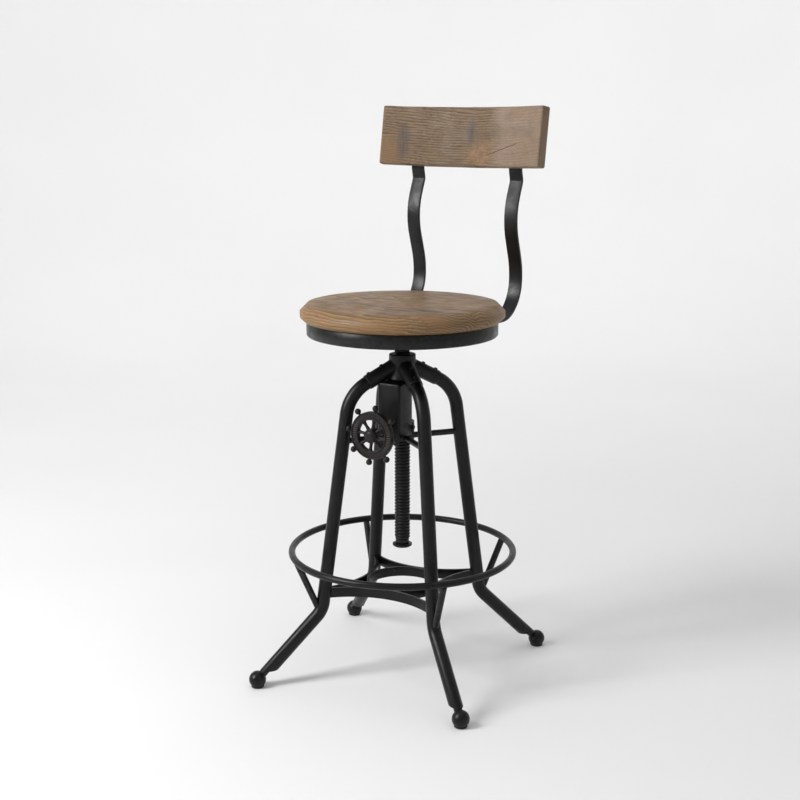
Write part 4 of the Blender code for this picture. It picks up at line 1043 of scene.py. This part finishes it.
def build_backrest(wood, screw_finish):
    steps = 48
    half_arc = BACK_ARC_R * asin(BACK_HALF_W / BACK_ARC_R)
    rings = []
    for k in range(steps + 1):
        across = half_arc * (2.0 * k / steps - 1.0)
        corners = ((0.0, 0.0), (0.0, BACK_T), (BACK_H, BACK_T), (BACK_H, 0.0))
        rings.append([plank_point(across, up, depth) for up, depth in corners])
    mesh = baked(loft(rings), bevel=0.0036, segments=5)
    for vert in mesh.vertices:
        vert.co -= vert.normal * (0.0005 * abs(noise.noise(vert.co * 24.0)))
    add_piece("backrest", mesh, "seat", wood, 50.0)

    lean = (Vector(UPRIGHT_POINTS[-1]) - Vector(UPRIGHT_POINTS[-2])).normalized()
    back = Vector((0.0, lean.y, -lean.x))
    for label, sign in (("left", -1.0), ("right", 1.0)):
        for level, height in zip(("lower", "upper"), BACK_SCREW_HEIGHTS):
            spot = Vector(UPRIGHT_POINTS[-2]) + lean * height
            middle = Vector((sign * UPRIGHT_X, spot.x, spot.y))
            place = upright_place(middle + back * (UPRIGHT_T / 2.0 - 0.0002), back)
            head = rounded_profile(((0.0060, 0.0), (0.0060, 0.0014), (0.0040, 0.0031), (TIP_R, 0.0033)),
                                   (0.0007, 0.0012), CHAMFER)
            slot = box((-0.0050, -0.0006, 0.0019), (0.0050, 0.0006, 0.0060))
            slot = ([place @ v for v in slot[0]], slot[1])
            mesh = baked(turned(head, 32, place=place), cut=(slot,))
            add_piece(f"backrest_screw_{label}_{level}", mesh, "seat", screw_finish)


# ---------------------------------------------------------------- hidden CAD nodes that stay


def finish_hidden_nodes(finishes):
    """Gives the CAD nodes that still show their own detailed finish."""
    for node, material in finishes.items():
        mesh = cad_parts[node].data
        for index in range(len(mesh.materials)):
            mesh.materials[index] = material


# ---------------------------------------------------------------- studio

VIEW_AZIMUTH = radians(32.0)
CAMERA_DISTANCE = 2.3797
CAMERA_HEIGHT = 1.0183
CAMERA_PITCH = radians(12.12)
CAMERA_YAW = radians(0.103)
LENS = 61.04


def from_camera_side(right, toward, height):
    """A place in the studio, measured rightward and toward the camera as seen in the picture."""
    across = Vector((cos(VIEW_AZIMUTH), sin(VIEW_AZIMUTH), 0.0))
    near = Vector((sin(VIEW_AZIMUTH), -cos(VIEW_AZIMUTH), 0.0))
    return AXIS + across * right + near * toward + Vector((0.0, 0.0, height))


def add_camera():
    data = bpy.data.cameras.new("camera")
    data.lens = LENS
    camera = bpy.data.objects.new("camera", data)
    camera.location = from_camera_side(0.0, CAMERA_DISTANCE, CAMERA_HEIGHT)
    camera.rotation_euler = (pi / 2.0 - CAMERA_PITCH, 0.0, VIEW_AZIMUTH + CAMERA_YAW)
    bpy.context.scene.collection.objects.link(camera)
    bpy.context.scene.camera = camera


def add_area_light(name, place, aim, size, power):
    data = bpy.data.lights.new(name, "AREA")
    data.shape = "RECTANGLE"
    data.size, data.size_y = size
    data.energy = power
    light = bpy.data.objects.new(name, data)
    light.location = place
    light.rotation_euler = (aim - place).to_track_quat("-Z", "Y").to_euler()
    bpy.context.scene.collection.objects.link(light)


def studio_material():
    """Matt paper, very slightly uneven."""
    g = Graph("studio_paper")
    cloud = g.noise(g.place, 0.8, 2.0)
    tone = g.ramp(cloud, [(0.3, (0.80, 0.80, 0.80)), (0.7, (0.83, 0.83, 0.83))])
    return g.finish(tone, 0.9, g.bump(g.noise(g.place, 300.0, 2.0), 0.0002, 0.2), specular=0.1)


def add_stage():
    """A floor that curves up into a round wall, so that every view ends in the same pale backdrop."""
    cove = rounded_profile(((0.01, 0.0), (6.0, 0.0), (6.0, 6.5)), (3.0,), ARC_STEP)
    rings = [[polar(radius, 2.0 * pi * k / 96, z) for k in range(96)] for radius, z in cove]
    verts = [point for ring in rings for point in ring]
    faces = []
    for i in range(len(rings) - 1):
        for k in range(96):
            n = (k + 1) % 96
            faces.append((i * 96 + k, i * 96 + n, (i + 1) * 96 + n, (i + 1) * 96 + k))
    faces.append(tuple(reversed(range(96))))
    mesh = bpy.data.meshes.new("studio_cove")
    mesh.from_pydata([tuple(v) for v in verts], [], faces)
    mesh.shade_smooth()
    mesh.materials.append(studio_material())
    cove_object = bpy.data.objects.new("studio_cove", mesh)
    bpy.context.scene.collection.objects.link(cove_object)


def add_lights():
    world = bpy.data.worlds.new("studio")
    world.use_nodes = True
    background = world.node_tree.nodes["Background"]
    background.inputs["Color"].default_value = (1.0, 1.0, 1.0, 1.0)
    background.inputs["Strength"].default_value = 0.56
    bpy.context.scene.world = world
    aim = AXIS + Vector((0.0, 0.0, 0.5))
    wall = from_camera_side(0.0, -6.0, 1.6)
    add_area_light("window", from_camera_side(-2.5, 1.1, 2.1), aim, (1.0, 1.9), 92.0)
    add_area_light("overhead", from_camera_side(0.0, -0.4, 3.4), aim, (3.0, 3.0), 14.0)
    add_area_light("backdrop_wash", from_camera_side(0.0, -2.2, 3.4), wall, (5.0, 1.0), 74.0)
    bpy.context.scene.view_settings.view_transform = "Standard"


# ---------------------------------------------------------------- assembly


def main():
    coat = coat_material("black_powder_coat", (0.0034, 0.0034, 0.0036), (0.032, 0.030, 0.028), 0.34, 1.0)
    cast = coat_material("black_casting", (0.0062, 0.0058, 0.0056), (0.040, 0.036, 0.032), 0.43, 1.0, cast=0.6)
    screw_finish = coat_material("oiled_black_steel", (0.0068, 0.0060, 0.0055), (0.048, 0.040, 0.034), 0.38, 0.6)
    wheel = wheel_material("chased_casting", (0.0072, 0.0058, 0.0053), (0.072, 0.058, 0.050))
    steel = steel_material("oily_machined_steel")
    build_legs(coat)
    build_hub(cast)
    build_socket_screws(coat)
    build_ring(coat)
    build_braces(coat)
    build_stays(coat)
    build_bracket(coat, screw_finish)
    build_housing(cast)
    build_wheel(wheel, wheel)
    build_lift(screw_finish, cast)
    build_seat(coat, seat_wood_material())
    build_uprights(coat)
    build_backrest(back_wood_material(), screw_finish)
    hidden = {node: steel for node in ("guide_screw", "gear_nut", "pinion", "retaining_ring")}
    hidden.update({node: cast for node in ("shaft_bush", "seat_boss")})
    hidden["wheel_shaft"] = screw_finish
    rubber = rubber_material("moulded_rubber")
    hidden.update({f"foot_glide_{name}": rubber for name in LEG_NAMES})
    finish_hidden_nodes(hidden)
    add_camera()
    add_stage()
    add_lights()


main()
